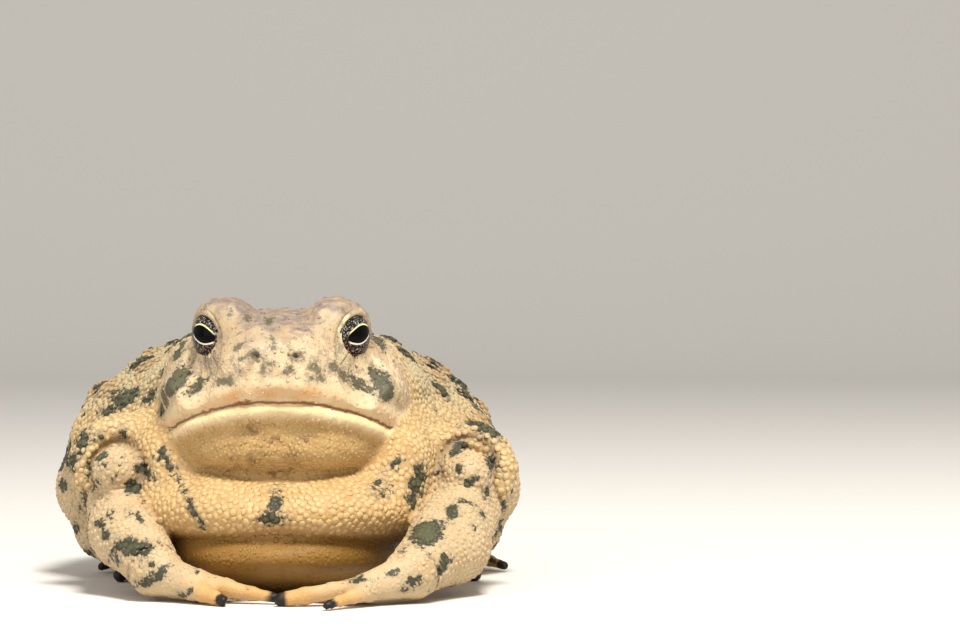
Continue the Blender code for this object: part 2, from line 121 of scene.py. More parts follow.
def mirrored(mass):
    """The same mass on the other side of the middle plane."""
    flip = vec(-1, 1, 1)
    other = dict(mass)
    for key in ("centre", "start", "end"):
        if key in mass:
            other[key] = mass[key] * flip
    if "turn" in mass:
        mirror = np.diag(flip)
        other["turn"] = mirror @ mass["turn"] @ mirror
    return other


def both(masses):
    return masses + [mirrored(mass) for mass in masses]


def moved(masses, by):
    """Copies of masses, each moved by one offset."""
    copies = []
    for mass in masses:
        copy = dict(mass)
        for key in ("centre", "start", "end"):
            if key in copy:
                copy[key] = copy[key] + vec(*by)
        copies.append(copy)
    return copies


def arch(centre, radius, thickness, lean, blend=3.2, steps=7):
    """A roll of skin bent over a shoulder: short limbs along an arc in the face's plane."""
    angles = np.radians(np.linspace(-25.0, 200.0, steps + 1))
    side = np.cos(angles) * radius
    rise = np.sin(angles) * radius
    places = [vec(*centre) + vec(a, lean * (b + radius), b) for a, b in zip(side, rise)]
    ends = zip(places[:-1], places[1:])
    return [limb(tuple(a), tuple(b), thickness, thickness, blend) for a, b in ends]


HEAD = [
    ball((0, 19.5, 30.2), (19.2, 19.3, 7.6), (-11, 0, 0)),
    ball((0, 19.5, 35.8), (14.2, 16.5, 7.9), (-5, 0, 0), 5.0),
    ball((0, 7.8, 33.8), (9.5, 7.8, 5.4), (-8, 0, 0), 4.0),
    ball((0, 19.4, 25.2), (17.6, 18.0, 6.8), (-11, 0, 0), 3.0),
    ball((0, 15.8, 23.4), (14.6, 14.0, 5.8), (4, 0, 0), 3.0),
] + both([
    ball(EYE_CENTRE, (5.3, 5.6, 5.5), (0, 0, 0), 1.8),
    limb((7.5, 11.0, 42.3), (8.0, 18.5, 43.0), 2.4, 2.6, 2.4),
    ball((14.2, 22.5, 34.2), (4.0, 6.0, 5.0), (0, 0, 0), 3.0),
    limb((7.0, 9.4, 40.4), (3.0, 2.9, 37.0), 2.1, 1.6, 2.2),
])

TRUNK = [
    ball((-1.8, 52, 19.5), (33, 36, 21.5), (2, 0, 0)),
    ball((-0.8, 34, 25), (23.5, 20, 15.5), (0, 0, 0), 6.0),
    ball((-0.5, 27, 13.0), (25, 28.2, 8.2), (0, 0, 0), 2.4),
    ball((-0.8, 29.5, 6.4), (20, 30.4, 7.6), (0, 0, 0), 1.0),
    ball((-1, 72, 13.5), (23, 19, 14.5), (0, 0, 0), 6.0),
] + both([
    ball((17.0, 31, 31.4), (4.8, 8.5, 4.4), (0, 14, -12), 2.0),
    ball((16.5, 21, 19.6), (7.5, 9.5, 8.0), (0, 0, 0), 4.0),
]) + [
    ball((-20.0, 49, 21.2), (16.2, 24, 12.8), (0, -8, 0), 5.0),
    ball((20.0, 49, 18.2), (14.8, 24, 11.8), (0, 4, 0), 5.0),
] + arch((-25.6, 18.6, 19.0), 5.8, 1.6, 0.35) + arch((28.4, 19.6, 18.0), 5.8, 1.6, 0.35)

# The toad's right side is at -X
UPPER_ARM = {
    "right": [limb((-21.5, 25, 17.2), (-25.5, 15.5, 19.0), 4.4, 3.9)],
    "left": [limb((22.5, 26, 17.0), (28.6, 17.5, 18.0), 4.4, 3.9)],
}
FOREARM = {
    "right": [
        limb((-25.4, 21, 13.2), (-23.6, 11.5, 9.6), 5.4, 5.3),
        limb((-23.6, 11.5, 9.6), (-18.6, 2.0, 5.0), 5.3, 3.9),
    ],
    "left": [
        limb((28.0, 20.5, 12.8), (25.9, 9.5, 8.1), 5.8, 6.0),
        limb((25.9, 9.5, 8.1), (20.6, -1.5, 4.8), 6.0, 4.0),
    ],
}
HAND = {
    "right": [
        limb((-18.6, 1.6, 4.2), (-12.2, -2.2, 2.8), 3.4, 2.2, 1.0),
        limb((-12.4, -3.2, 2.3), (-7.2, -8.2, 0.8), 1.6, 0.8, 1.0),
        limb((-12.0, -1.8, 3.0), (0.2, -4.5, 1.0), 1.6, 0.9, 1.0),
        limb((-13.0, -0.8, 2.2), (-2.5, 1.0, 0.8), 1.3, 0.8, 1.0),
        limb((-14.0, 0.0, 2.0), (-9.0, 4.5, 0.8), 1.3, 0.8, 1.0),
    ],
    "left": [
        limb((20.6, -2.2, 4.2), (14.0, -7.0, 2.8), 3.5, 2.2, 1.0),
        limb((14.0, -8.2, 2.3), (8.4, -14.0, 0.8), 1.6, 0.8, 1.0),
        limb((13.8, -6.8, 3.0), (1.2, -7.8, 1.0), 1.6, 0.9, 1.0),
        limb((14.2, -6.0, 2.2), (4.0, -1.0, 0.8), 1.3, 0.8, 1.0),
        limb((15.0, -5.0, 2.0), (10.0, 2.0, 0.8), 1.3, 0.8, 1.0),
    ],
}
THIGH_RIGHT = [limb((-19.0, 68, 13.5), (-30.9, 47.5, 14.4), 9.4, 7.8)]
SHANK_RIGHT = [limb((-29.6, 47.5, 8.2), (-25.0, 76, 6.0), 6.4, 4.5)]
FOOT_RIGHT = [
    limb((-22, 77, 4.5), (-25, 62, 3.6), 4.2, 3.4, 1.0),
    limb((-25, 62, 3.0), (-33, 52, 1.0), 1.8, 0.95, 1.0),
    limb((-25, 62, 3.0), (-28, 34.0, 1.0), 2.0, 0.95, 1.0),
    limb((-24, 60, 3.0), (-22, 38, 1.0), 1.8, 0.95, 1.0),
    limb((-23, 61, 3.0), (-17, 47, 1.0), 1.6, 0.9, 1.0),
    limb((-22, 62, 3.0), (-14, 54, 1.0), 1.5, 0.9, 1.0),
]
LEFT_LEG_OFFSET = (-1.7, 0, 0)
THIGH = {"right": THIGH_RIGHT, "left": moved([mirrored(m) for m in THIGH_RIGHT], LEFT_LEG_OFFSET)}
SHANK = {"right": SHANK_RIGHT, "left": moved([mirrored(m) for m in SHANK_RIGHT], LEFT_LEG_OFFSET)}
FOOT = {
    "right": moved(FOOT_RIGHT, (1.0, -1.0, 0)),
    "left": moved([mirrored(m) for m in FOOT_RIGHT], (1.6, 1.0, 0)),
}
SIDES = ("right", "left")


def distance(points, mass):
    """Signed distance, negative inside: close to exact for a ball, exact along a limb's axis."""
    if "centre" in mass:
        local = (points - mass["centre"]) @ mass["turn"]
        near = np.linalg.norm(local / mass["radii"], axis=1)
        slope = np.linalg.norm(local / mass["radii"] ** 2, axis=1)
        return near * (near - 1.0) / np.maximum(slope, 1e-9)
    along = mass["end"] - mass["start"]
    share = clamped((points - mass["start"]) @ along / (along @ along))
    radius = mass["radii"][0] + share * (mass["radii"][1] - mass["radii"][0])
    return np.linalg.norm(points - mass["start"] - share[:, None] * along, axis=1) - radius


def smooth_union(first, second, blend):
    """The smaller of two distances, rounded where they differ by less than blend."""
    reach = np.maximum(blend - np.abs(first - second), 0.0) / blend
    return np.minimum(first, second) - reach * reach * blend / 4.0


def blended(points, masses):
    total = distance(points, masses[0])
    for mass in masses[1:]:
        total = smooth_union(total, distance(points, mass), mass["blend"])
    return total


def mouth_height(x, y):
    """Height of the mouth line: it falls to the corners and to the back."""
    return MOUTH_HEIGHT - 0.24 * y - 0.0048 * x * x


def face_forms(points):
    """Depth of the hollow before each eye, less the swell of snout ridge and mouth corners."""
    side = np.abs(points[:, 0])
    y, z = points[:, 1], points[:, 2]
    ahead = 1.0 / (1.0 + np.exp((y - 12.0) / 0.8))
    from_eye = np.sqrt((side - EYE_CENTRE[0]) ** 2 + (y - EYE_CENTRE[1]) ** 2 + (z - EYE_CENTRE[2]) ** 2)
    clear_of_eye = 1.0 / (1.0 + np.exp((7.0 - from_eye) / 0.3))
    hollow = 0.8 * clear_of_eye * bell(side, 8.6, 2.4, z, 33.8, 2.4)
    ridge = 0.35 * bell(side, 0.0, 2.6, z, 36.0, 3.5)
    corner = 0.7 * bell(side, 18.6, 1.8, y, 16.5, 2.2, z, 24.0, 1.5)
    return ahead * (hollow - ridge) - corner


def lips(points):
    """Depth of the mouth line and of the hollow under the lower lip, less the swell of both lips."""
    off = points[:, 2] - mouth_height(points[:, 0], points[:, 1])
    ahead = 1.0 / (1.0 + np.exp((points[:, 1] - MOUTH_CORNER) / 0.8))
    line = 0.35 * bell(off, 0.0, 0.8)
    lower_lip = 0.5 * bell(off, -1.6, 1.2)
    hollow = 0.15 * bell(off, -3.8, 1.2)
    upper_lip = 0.4 * bell(off, 1.6, 1.2)
    over_lip = 0.12 * bell(off, 4.4, 1.8)
    return ahead * (line - lower_lip + hollow - upper_lip + over_lip)


def body_field(points):
    """Head and trunk as one form, with the lips and the face's hollows worked into the head."""
    head = blended(points, HEAD) + lips(points) + face_forms(points)
    return smooth_union(blended(points, TRUNK), head, 2.0)


def gradient(field, points):
    step = 0.05
    parts = [field(points + step * axis) - field(points - step * axis) for axis in np.eye(3)]
    return np.stack(parts, axis=1) / (2.0 * step)


def settle(field, points, rounds=4):
    """Slide points along the slope of the field until they lie on its zero surface."""
    for _ in range(rounds):
        slope = gradient(field, points)
        steep = np.maximum((slope * slope).sum(axis=1), 0.25)
        move = (field(points) / steep)[:, None] * slope
        length = np.linalg.norm(move, axis=1)
        points = points - move * np.minimum(1.0, 1.5 / np.maximum(length, 1e-9))[:, None]
    return points


def whole_field(points):
    """Distance to the whole toad: head and trunk, then each limb with its own crease to the body."""
    total = body_field(points)
    for side in SIDES:
        total = smooth_union(total, blended(points, UPPER_ARM[side]), 1.2)
        total = smooth_union(total, blended(points, FOREARM[side]), 1.0)
        total = smooth_union(total, blended(points, HAND[side]), 1.4)
        total = smooth_union(total, blended(points, THIGH[side]), 2.0)
        total = smooth_union(total, blended(points, SHANK[side]), 1.4)
        total = smooth_union(total, blended(points, FOOT[side]), 0.8)
    return total


def all_masses():
    masses = HEAD + TRUNK
    for side in SIDES:
        masses = masses + UPPER_ARM[side] + FOREARM[side] + HAND[side]
        masses = masses + THIGH[side] + SHANK[side] + FOOT[side]
    return masses


def unit(vectors):
    return vectors / np.maximum(np.linalg.norm(vectors, axis=-1, keepdims=True), 1e-9)


def gaze(side):
    """Unit vector from the middle of an eye out through its opening."""
    angle = math.radians(EYE_GAZE)
    sign = -1.0 if side == "right" else 1.0
    return unit(vec(sign * math.sin(angle), -math.cos(angle), 0.06))


def eye_centre(side):
    return vec(*EYE_CENTRE) * (vec(-1, 1, 1) if side == "right" else vec(1, 1, 1))


def opening_axes(side):
    """Axis of the eye's opening, the way across it towards the snout, and the way up it."""
    forward = unit(gaze(side) - vec(0.0, 0.0, 0.13))
    upward = unit(vec(0, 0, 1) - forward * forward[2])
    inward = np.cross(upward, forward) * (1.0 if side == "right" else -1.0)
    return forward, inward, upward


def opening_reach(inward, upward):
    """Half-angle of the eye's opening in degrees: widest to the sides and lower down, least at the brow."""
    return LID_OPENING - 0.5 + 5.0 * inward * inward - 3.5 * upward


def eye_angles(points, side):
    """Distance from the middle of an eye, angle off the axis of its opening, and the opening's half-angle."""
    from_eye = points - eye_centre(side)
    far = np.maximum(np.linalg.norm(from_eye, axis=1), 1e-9)
    forward, inward, upward = opening_axes(side)
    angle = np.degrees(np.arccos(np.clip(from_eye @ forward / far, -1.0, 1.0)))
    across, up = from_eye @ inward, from_eye @ upward
    level = np.maximum(np.hypot(across, up), 1e-9)
    return far, angle, opening_reach(across / level, up / level)


def skin_field(points):
    """The whole toad less a flared sleeve ahead of each eye, which stops just under the eyeball's surface.

    The sleeve's half-width is the eye's radius times the sine of the opening's half-angle where it crosses
    the eyeball, and grows by LID_FLARE for each millimetre ahead, or by more towards the snout.
    """
    total = whole_field(points)
    for side in SIDES:
        far, angle, opening = eye_angles(points, side)
        angle, opening = np.radians(angle), np.radians(opening + 0.5)
        ahead = far * np.cos(angle)
        off_axis = far * np.sin(angle)
        inward = (points - eye_centre(side)) @ opening_axes(side)[1] / np.maximum(off_axis, 0.1)
        flare = LID_FLARE + NASAL_FLARE * step_up(inward, -0.4, 0.6)
        half = EYE_RADIUS * np.sin(opening) + flare * (ahead - EYE_RADIUS * np.cos(opening))
        outside = (off_axis - half) / np.hypot(1.0, flare)
        room = np.maximum.reduce([outside, -ahead, EYE_RADIUS - 0.5 - far])
        total = -smooth_union(-total, room, 0.3)
    return total


def closed_grid(rings, around):
    """Faces of a surface made of rings of points, closed round each ring and by a fan at both poles."""
    ring, step = np.meshgrid(np.arange(rings - 1), np.arange(around), indexing="ij")
    first = ring * around + step
    beside = ring * around + (step + 1) % around
    quads = np.stack([first, beside, beside + around, first + around], axis=-1).reshape(-1, 4)
    steps = np.arange(around)
    low = rings * around
    low_fan = np.stack([np.full(around, low), (steps + 1) % around, steps], axis=1)
    top = (rings - 1) * around
    top_fan = np.stack([np.full(around, low + 1), top + steps, top + (steps + 1) % around], axis=1)
    return quads, np.concatenate([low_fan, top_fan])


def unit_globe(rings, around):
    """Points of a unit ball: rings of latitude, then the low and the high pole."""
    height = np.linspace(-1.0, 1.0, rings + 2)[1:-1] * math.pi / 2.0
    turn = np.linspace(0.0, 2.0 * math.pi, around, endpoint=False)
    up, spin = np.meshgrid(height, turn, indexing="ij")
    globe = np.stack([np.cos(up) * np.cos(spin), np.cos(up) * np.sin(spin), np.sin(up)], axis=-1)
    return np.concatenate([globe.reshape(-1, 3), [(0, 0, -1), (0, 0, 1)]])


def mass_surface(mass, rings=14, around=24):
    """A mass as a function of two angles: a ball's three radii, or a limb's round profile along its axis."""
    globe = unit_globe(rings, around)
    if "centre" in mass:
        points = (globe * mass["radii"]) @ mass["turn"].T + mass["centre"]
    else:
        along = mass["end"] - mass["start"]
        facing = np.array(Vector(along).to_track_quat("Z", "Y").to_matrix())
        far = globe[:, 2] > 0
        radius = np.where(far, mass["radii"][1], mass["radii"][0])
        points = (globe * radius[:, None]) @ facing.T + mass["start"] + far[:, None] * along
    return points, closed_grid(rings, around)


def mesh_of(name, points, faces):
    """A mesh object from an array of points and groups of faces."""
    mesh = bpy.data.meshes.new(name)
    mesh.from_pydata(points.tolist(), [], [row for group in faces for row in group.tolist()])
    mesh.update()
    piece = bpy.data.objects.new(name, mesh)
    bpy.context.scene.collection.objects.link(piece)
    return piece


def read_points(mesh):
    flat = np.empty(len(mesh.vertices) * 3, dtype=np.float32)
    mesh.vertices.foreach_get("co", flat)
    return flat.reshape(-1, 3).astype(float)


def write_points(mesh, points):
    mesh.vertices.foreach_set("co", points.astype(np.float32).ravel())
    mesh.update()


def write_numbers(mesh, name, values):
    """A number for each point, which the materials read by its name."""
    layer = mesh.attributes.new(name, "FLOAT", "POINT")
    layer.data.foreach_set("value", values.astype(np.float32))


def write_colours(mesh, name, colours):
    layer = mesh.attributes.new(name, "FLOAT_COLOR", "POINT")
    solid = np.concatenate([colours, np.ones((len(colours), 1))], axis=1)
    layer.data.foreach_set("color", solid.astype(np.float32).ravel())


def applied(piece):
    """Replace a piece's mesh by the one its modifiers give."""
    graph = bpy.context.evaluated_depsgraph_get()
    finished = bpy.data.meshes.new_from_object(piece.evaluated_get(graph))
    piece.modifiers.clear()
    piece.data = finished
    return piece


def remeshed(piece, voxel):
    """Give a piece an even mesh with cells of one size."""
    remesh = piece.modifiers.new("Fuse", "REMESH")
    remesh.mode = "VOXEL"
    remesh.voxel_size = voxel
    return applied(piece)


def evened(piece, rounds):
    """Draw each point towards the middle of its neighbours, which spaces them evenly over the surface."""
    even = piece.modifiers.new("Even", "SMOOTH")
    even.factor = 0.5
    even.iterations = rounds
    return applied(piece)


def placed(points):
    """From the toad's own millimetres to the frame's metres."""
    return (points + vec(*FRAME_SHIFT)) * MM


def mixed(first, second, share):
    """Rows between two colours, by a share from 0 to 1 for each row."""
    return first * (1.0 - share[:, None]) + np.asarray(second) * share[:, None]




def seen_seats(places):
    """Seats on the skin under places of the front view, given in millimetres at the snout's plane.

    Each place is joined to the station, and the line is followed in steps of the field until it meets
    the skin.
    """
    at_plane = np.stack([places[:, 0], np.zeros(len(places)), places[:, 1]], axis=1)
    sight = unit(at_plane - vec(*STATION))
    travelled = np.full(len(places), 470.0)
    for _ in range(60):
        ahead = whole_field(vec(*STATION) + travelled[:, None] * sight)
        travelled = travelled + 0.8 * np.maximum(ahead, 0.0)
    return vec(*STATION) + travelled[:, None] * sight


def ray_seats(sides, depths, ups):
    """Outermost points of the skin on level rays from the body's core, one for each direction."""
    core = np.stack([np.full_like(depths, CENTRE_LINE), depths, np.full_like(depths, 16.0)], axis=1)
    out = np.stack([sides, np.zeros_like(sides), ups], axis=1)
    near = np.zeros(len(out))
    far = np.full(len(out), 60.0)
    for _ in range(24):
        middle = (near + far) / 2.0
        inside = body_field(core + middle[:, None] * out) < 0.0
        near = np.where(inside, middle, near)
        far = np.where(inside, far, middle)
    return core + near[:, None] * out


# Dark blotches of the front view: place across and up, half-width, half-height, tilt in degrees
BLOTCHES = [
    # Cheeks and the bands under the eyes
    (-15.2, 33.2, 3.5, 1.35, 50), (-16.8, 30.6, 0.9, 1.4, 20), (15.2, 33.9, 2.6, 1.5, -50),
    (16.7, 31.4, 1.3, 1.1, -30), (11.9, 32.9, 3.4, 0.85, -34), (-11.9, 32.8, 2.5, 0.8, 42),
    (-13.9, 38.7, 0.5, 0.9, 10), (-14.9, 37.0, 0.9, 0.9, 0), (15.2, 39.4, 0.9, 1.2, -20),
    (16.0, 38.1, 0.5, 0.6, 0),
    # Snout and forehead
    (-3.3, 37.0, 0.9, 0.8, 0), (-5.5, 38.3, 0.6, 0.35, 30), (-0.7, 38.7, 0.4, 0.8, 15),
    (3.0, 37.0, 0.8, 0.5, -30),
    (-1.9, 35.0, 0.4, 0.9, 0), (1.9, 34.5, 0.5, 0.6, 0), (-7.3, 33.1, 1.2, 0.5, 0),
    (6.0, 35.0, 0.9, 0.7, -20),
    (5.9, 33.5, 1.0, 0.5, 0), (-4.3, 42.3, 0.5, 0.5, 0), (-1.0, 42.1, 0.7, 0.8, 0),
    (-7.0, 42.9, 0.2, 0.5, 0),
    (-0.4, 35.8, 0.5, 0.3, 0), (8.6, 35.6, 0.4, 0.3, 0), (-5.2, 36.6, 0.4, 0.3, 0),
    # Neck and shoulder on the toad's right
    (-22.5, 30.8, 3.0, 1.3, 12), (-24.9, 28.6, 1.6, 0.9, 30), (-18.8, 30.6, 1.4, 0.8, 40),
    (-23.0, 25.3, 0.6, 0.7, 0), (-29.0, 24.0, 0.9, 1.8, -20), (-30.6, 21.0, 0.8, 1.2, 0),
    (-28.0, 19.7, 0.6, 1.0, 0), (-31.7, 17.5, 0.5, 0.6, 0), (-30.0, 11.0, 0.7, 0.9, 0),
    (-26.2, 31.5, 1.0, 0.7, 20), (-17.0, 28.9, 0.6, 0.8, 0), (-24.0, 18.8, 0.35, 0.35, 0),
    (-25.6, 20.4, 0.35, 0.3, 0), (-23.2, 21.2, 0.3, 0.3, 0), (-26.6, 17.8, 0.3, 0.3, 0),
    # Chest
    (-17.2, 22.3, 0.7, 1.4, -35), (-19.9, 20.0, 1.1, 0.9, 0), (-21.4, 17.1, 1.2, 1.0, 30),
    (-18.4, 18.6, 1.0, 0.5, -30), (-13.0, 14.8, 0.4, 3.2, 32), (-16.0, 20.6, 0.4, 1.3, 30),
    (-0.4, 14.6, 0.75, 2.4, -4), (-0.5, 12.4, 1.7, 1.1, 0), (16.2, 16.5, 1.0, 0.4, 20),
    (15.0, 17.6, 0.3, 1.2, -40), (21.3, 18.0, 1.3, 2.3, -10), (20.3, 15.3, 0.8, 1.0, 0),
    (18.0, 21.0, 0.8, 0.4, 30),
    # The toad's right arm
    (-21.8, 8.2, 3.0, 1.2, -8), (-25.3, 9.9, 0.8, 0.6, 0), (-19.2, 3.2, 2.4, 0.6, 22),
    (-16.9, 4.6, 1.0, 0.4, 40),
    (-11.3, 4.5, 0.7, 0.35, 0), (-23.9, 6.3, 0.8, 0.5, 0), (-13.3, 1.2, 1.2, 0.35, 20),
    (-25.0, 13.0, 0.5, 0.5, 0),
    (-21.5, 13.2, 0.6, 0.4, 0),
    # The toad's left arm
    (22.6, 10.5, 2.6, 2.0, 15), (20.7, 3.0, 1.1, 0.9, 20), (17.6, 4.5, 0.7, 0.6, 0),
    (12.7, 3.2, 1.1, 0.35, 0),
    (18.9, 1.9, 0.5, 0.4, 0), (25.4, 6.2, 1.0, 0.8, 0), (26.5, 13.5, 1.0, 1.2, 0),
    (24.3, 20.2, 0.6, 0.5, 0),
    (27.4, 19.8, 0.5, 0.7, 0),
    # The toad's left flank
    (32.1, 25.8, 2.2, 1.1, -25), (32.1, 20.6, 0.9, 1.3, 0), (27.6, 23.4, 1.0, 0.9, 0),
    (34.0, 15.0, 0.7, 0.9, 0),
    (31.6, 16.4, 0.5, 0.8, 0), (29.6, 27.0, 1.2, 0.8, -20), (33.6, 11.0, 0.6, 0.6, 0),
    (30.9, 13.0, 0.6, 0.5, 0),
]


def back_blotches(random):
    """Blotches where the front view doesn't reach: round large warts, on flanks, in bars on the legs."""
    warts = wart_places(np.random.default_rng(SEED))
    warts = warts[random.permutation(len(warts))[:46]]
    count = 34
    right, left = random.uniform(-112.0, -62.0, count), random.uniform(62.0, 112.0, count)
    turn = np.radians(np.concatenate([right, left]))
    sides = np.concatenate([warts[:, 0], np.sin(turn)])
    depths = np.concatenate([warts[:, 1], random.uniform(36.0, 84.0, 2 * count)])
    seats = ray_seats(sides, depths, np.concatenate([warts[:, 2], np.cos(turn)]))
    sizes = random.uniform(1.3, 3.2, (len(seats), 1)) * random.uniform(0.7, 1.3, (len(seats), 3))
    legs = []
    for side in SIDES:
        for mass in THIGH[side] + SHANK[side]:
            for share in (0.1, 0.5, 0.9):
                out = vec(-1.0 if side == "right" else 1.0, 0.0, 0.3)
                legs.append(mass["start"] + share * (mass["end"] - mass["start"]) + out * mass["radii"][0])
    legs = np.array(legs)
    return np.concatenate([seats, legs]), np.concatenate([sizes, np.full((len(legs), 3), (4.0, 1.6, 4.0))])


def blotch_depth(points):
    """How deep each point lies in the nearest dark blotch, in millimetres: over 0 inside, under 0 outside.

    A blotch is an ellipsoid round its seat; the depth is its smallest half-width times one less the
    point's distance in units of the half-widths.
    """
    rows = np.array(BLOTCHES)
    seats = seen_seats(rows[:, :2])
    deepest = np.full(len(points), -4.0)
    for seat, row in zip(seats, rows):
        tilt = math.radians(row[4])
        across = vec(math.cos(tilt), 0.0, math.sin(tilt))
        upward = vec(-math.sin(tilt), 0.0, math.cos(tilt))
        from_seat = points - seat
        wide, high = row[2], row[3]
        deep = 2.2 * max(wide, high)
        reach = np.sqrt((from_seat @ across / wide) ** 2 + (from_seat @ upward / high) ** 2
                        + (from_seat[:, 1] / deep) ** 2)
        deepest = np.maximum(deepest, min(wide, high) * (1.0 - reach))
    seats, sizes = back_blotches(np.random.default_rng(SEED + 3))
    for seat, size in zip(seats, sizes):
        reach = np.linalg.norm((points - seat) / size, axis=1)
        deepest = np.maximum(deepest, size.min() * (1.0 - reach))
    return deepest


def wart_places(random):
    """Seats of the back's warts: direction round the body and place along it, evenly spread and shaken."""
    seats = []
    for row, y in enumerate(np.arange(36.0, 86.0, 6.0)):
        for step in np.arange(-64.0, 65.0, 16.0):
            angle = math.radians(step + 8.0 * (row % 2) + random.uniform(-5.0, 5.0))
            depth = y + random.uniform(-2.0, 2.0)
            seats.append((math.sin(angle), depth, math.cos(angle), random.uniform(1.3, 2.4)))
    return np.array(seats)


def small_warts(random):
    """Smaller warts between the large ones, on the back, neck and flanks."""
    count = 420
    turn = np.radians(random.uniform(-112.0, 112.0, count))
    return np.stack([np.sin(turn), random.uniform(26.0, 88.0, count), np.cos(turn),
                     random.uniform(0.5, 1.2, count) * random.uniform(0.7, 1.0, count)], axis=1)


def wart_rise(points):
    """Height of the warts over the smooth skin: a dome (1 - r squared) to the power 1.5 over each seat."""
    large = wart_places(np.random.default_rng(SEED))
    rows = np.concatenate([large, small_warts(np.random.default_rng(SEED + 1))])
    seats = ray_seats(rows[:, 0], rows[:, 1], rows[:, 2])
    rise = np.zeros(len(points))
    for seat, radius in zip(seats, rows[:, 3]):
        near = np.nonzero(np.abs(points - seat).max(axis=1) < 1.5 * radius)[0]
        reach = np.linalg.norm(points[near] - seat, axis=1) / (1.5 * radius)
        dome = 0.55 * radius * clamped(1.0 - reach * reach) ** 1.5
        rise[near] = np.maximum(rise[near], dome)
    return rise


def waves(points, length, seed):
    """Smooth even noise from -1 to 1: eight sine waves of one length in seeded directions."""
    random = np.random.default_rng(seed)
    total = np.zeros(len(points))
    for _ in range(8):
        way = unit(random.normal(size=3))
        total += np.sin(points @ way * 2.0 * math.pi / length + random.uniform(0.0, 6.28))
    return total / 4.0


def head_share(points, over_trunk, along):
    """Share from 0 to 1 of the head: how far its blend lies outside the trunk's, and how far forward."""
    outside = blended(points, TRUNK) - blended(points, HEAD)
    return step_up(outside, *over_trunk) * step_down(points[:, 1], *along)


def regions(points):
    """Shares from 0 to 1 of each region of the skin at each point."""
    x, y, z = points.T
    head = blended(points, HEAD)
    trunk = blended(points, TRUNK)
    limbs = np.full(len(points), 50.0)
    hands = np.full(len(points), 50.0)
    tips = np.full(len(points), 50.0)
    for side in SIDES:
        for mass in UPPER_ARM[side] + FOREARM[side] + THIGH[side] + SHANK[side]:
            limbs = np.minimum(limbs, distance(points, mass))
        for mass in HAND[side] + FOOT[side]:
            hands = np.minimum(hands, distance(points, mass))
        for mass in HAND[side][1:] + FOOT[side][1:]:
            tips = np.minimum(tips, np.linalg.norm(points - mass["end"], axis=1))
    glands = np.min([np.linalg.norm((points - vec(sign * 17.0, 31.0, 32.0)) / vec(5.0, 8.5, 5.0), axis=1)
                     for sign in (-1.0, 1.0)], axis=0)
    body = np.minimum(head, trunk)
    face = step_up(trunk - head, -0.6, 0.6) * step_down(y, 18.0, 26.0)
    off = z - mouth_height(x, y)
    share = {
        "face": face,
        "limb": step_up(body - limbs, -0.5, 0.5) * step_up(hands - limbs, -0.5, 0.5),
        "hand": step_up(body - hands, -0.4, 0.4) * step_up(limbs - hands, -0.8, 0.3),
        "tip": step_down(tips, 1.25, 1.5),
        "finger": step_down(tips, 3.0, 9.0),
        "gland": step_down(glands, 0.85, 1.15),
        "mouth": bell(off, 0.0, 0.26) * step_down(y, 18.0, 22.0) * step_up(trunk - head, -1.0, 0.2),
        "lip": bell(off, -1.0, 0.75) * step_down(y, 16.0, 21.0) * face,
        "throat": (step_up(trunk - head, -2.4, 0.4) * step_down(y, 17.0, 23.0)
                   * step_down(off, -3.2, -1.8)),
    }
    low = step_down(z + 0.002 * (x + 1.0) ** 2, 9.2, 11.0)
    under = step_down(z, 5.0, 12.0)
    share["belly"] = np.where(y < 26.0, low, under) * step_up(limbs - body, 0.0, 0.8) * (1.0 - face)
    over_brow = 3.4 * step_up(np.abs(x), 4.5, 7.5)
    share["crown"] = (step_up(z - over_brow + 1.2 * waves(points, 3.0, 5), 39.6, 41.2)
                      * step_down(y, 26.0, 32.0))
    share["back"] = step_up(z + 0.2 * (y - 45.0) + 1.5 * waves(points, 9.0, 6), 22.0, 32.0) * (1.0 - face)
    share["flank"] = step_up(np.abs(x), 22.0, 28.0) * (1.0 - share["belly"]) * (1.0 - face)
    return share


CREAM = (0.62, 0.435, 0.21)
BUFF = (0.60, 0.455, 0.245)
BACK_BUFF = (0.47, 0.40, 0.25)
FACE_CREAM = (0.68, 0.53, 0.33)
LIP_CREAM = (0.90, 0.70, 0.38)
TAN = (0.45, 0.35, 0.23)
BROW_DUN = (0.42, 0.32, 0.20)
THROAT_OCHRE = (0.45, 0.285, 0.095)
STAIN_BROWN = (0.12, 0.055, 0.02)
# Ochre of the belly, darkened with painted shade of the underside
BELLY_OCHRE_AND_SHADE = (0.27, 0.145, 0.028)
CROWN_PURPLE = (0.20, 0.155, 0.15)
HAND_ORANGE = (0.58, 0.34, 0.13)
TIP_BLACK = (0.012, 0.010, 0.009)
LID_GREY = (0.38, 0.29, 0.26)
LIMB_BUFF = (0.57, 0.435, 0.26)
WART_RUST = (0.38, 0.22, 0.11)
STRIPE_BUFF = (0.58, 0.50, 0.34)
# Painted shade for the creases and the nostril pits
PIT_AND_CREASE_SHADE = (0.17, 0.09, 0.04)
RIM_YELLOW = (0.80, 0.74, 0.46)
LIP_RUST = (0.62, 0.32, 0.12)


# Brown stains of the throat: place across and up, half-width and half-height
STAINS = [
    (-3.8, 25.6, 2.2, 0.9), (0.0, 24.2, 2.4, 0.8), (-6.4, 21.7, 1.0, 1.7), (-3.0, 21.3, 1.6, 1.3),
    (2.5, 21.2, 1.1, 1.6), (-0.9, 18.9, 3.6, 1.1), (4.6, 24.4, 1.6, 0.5),
]


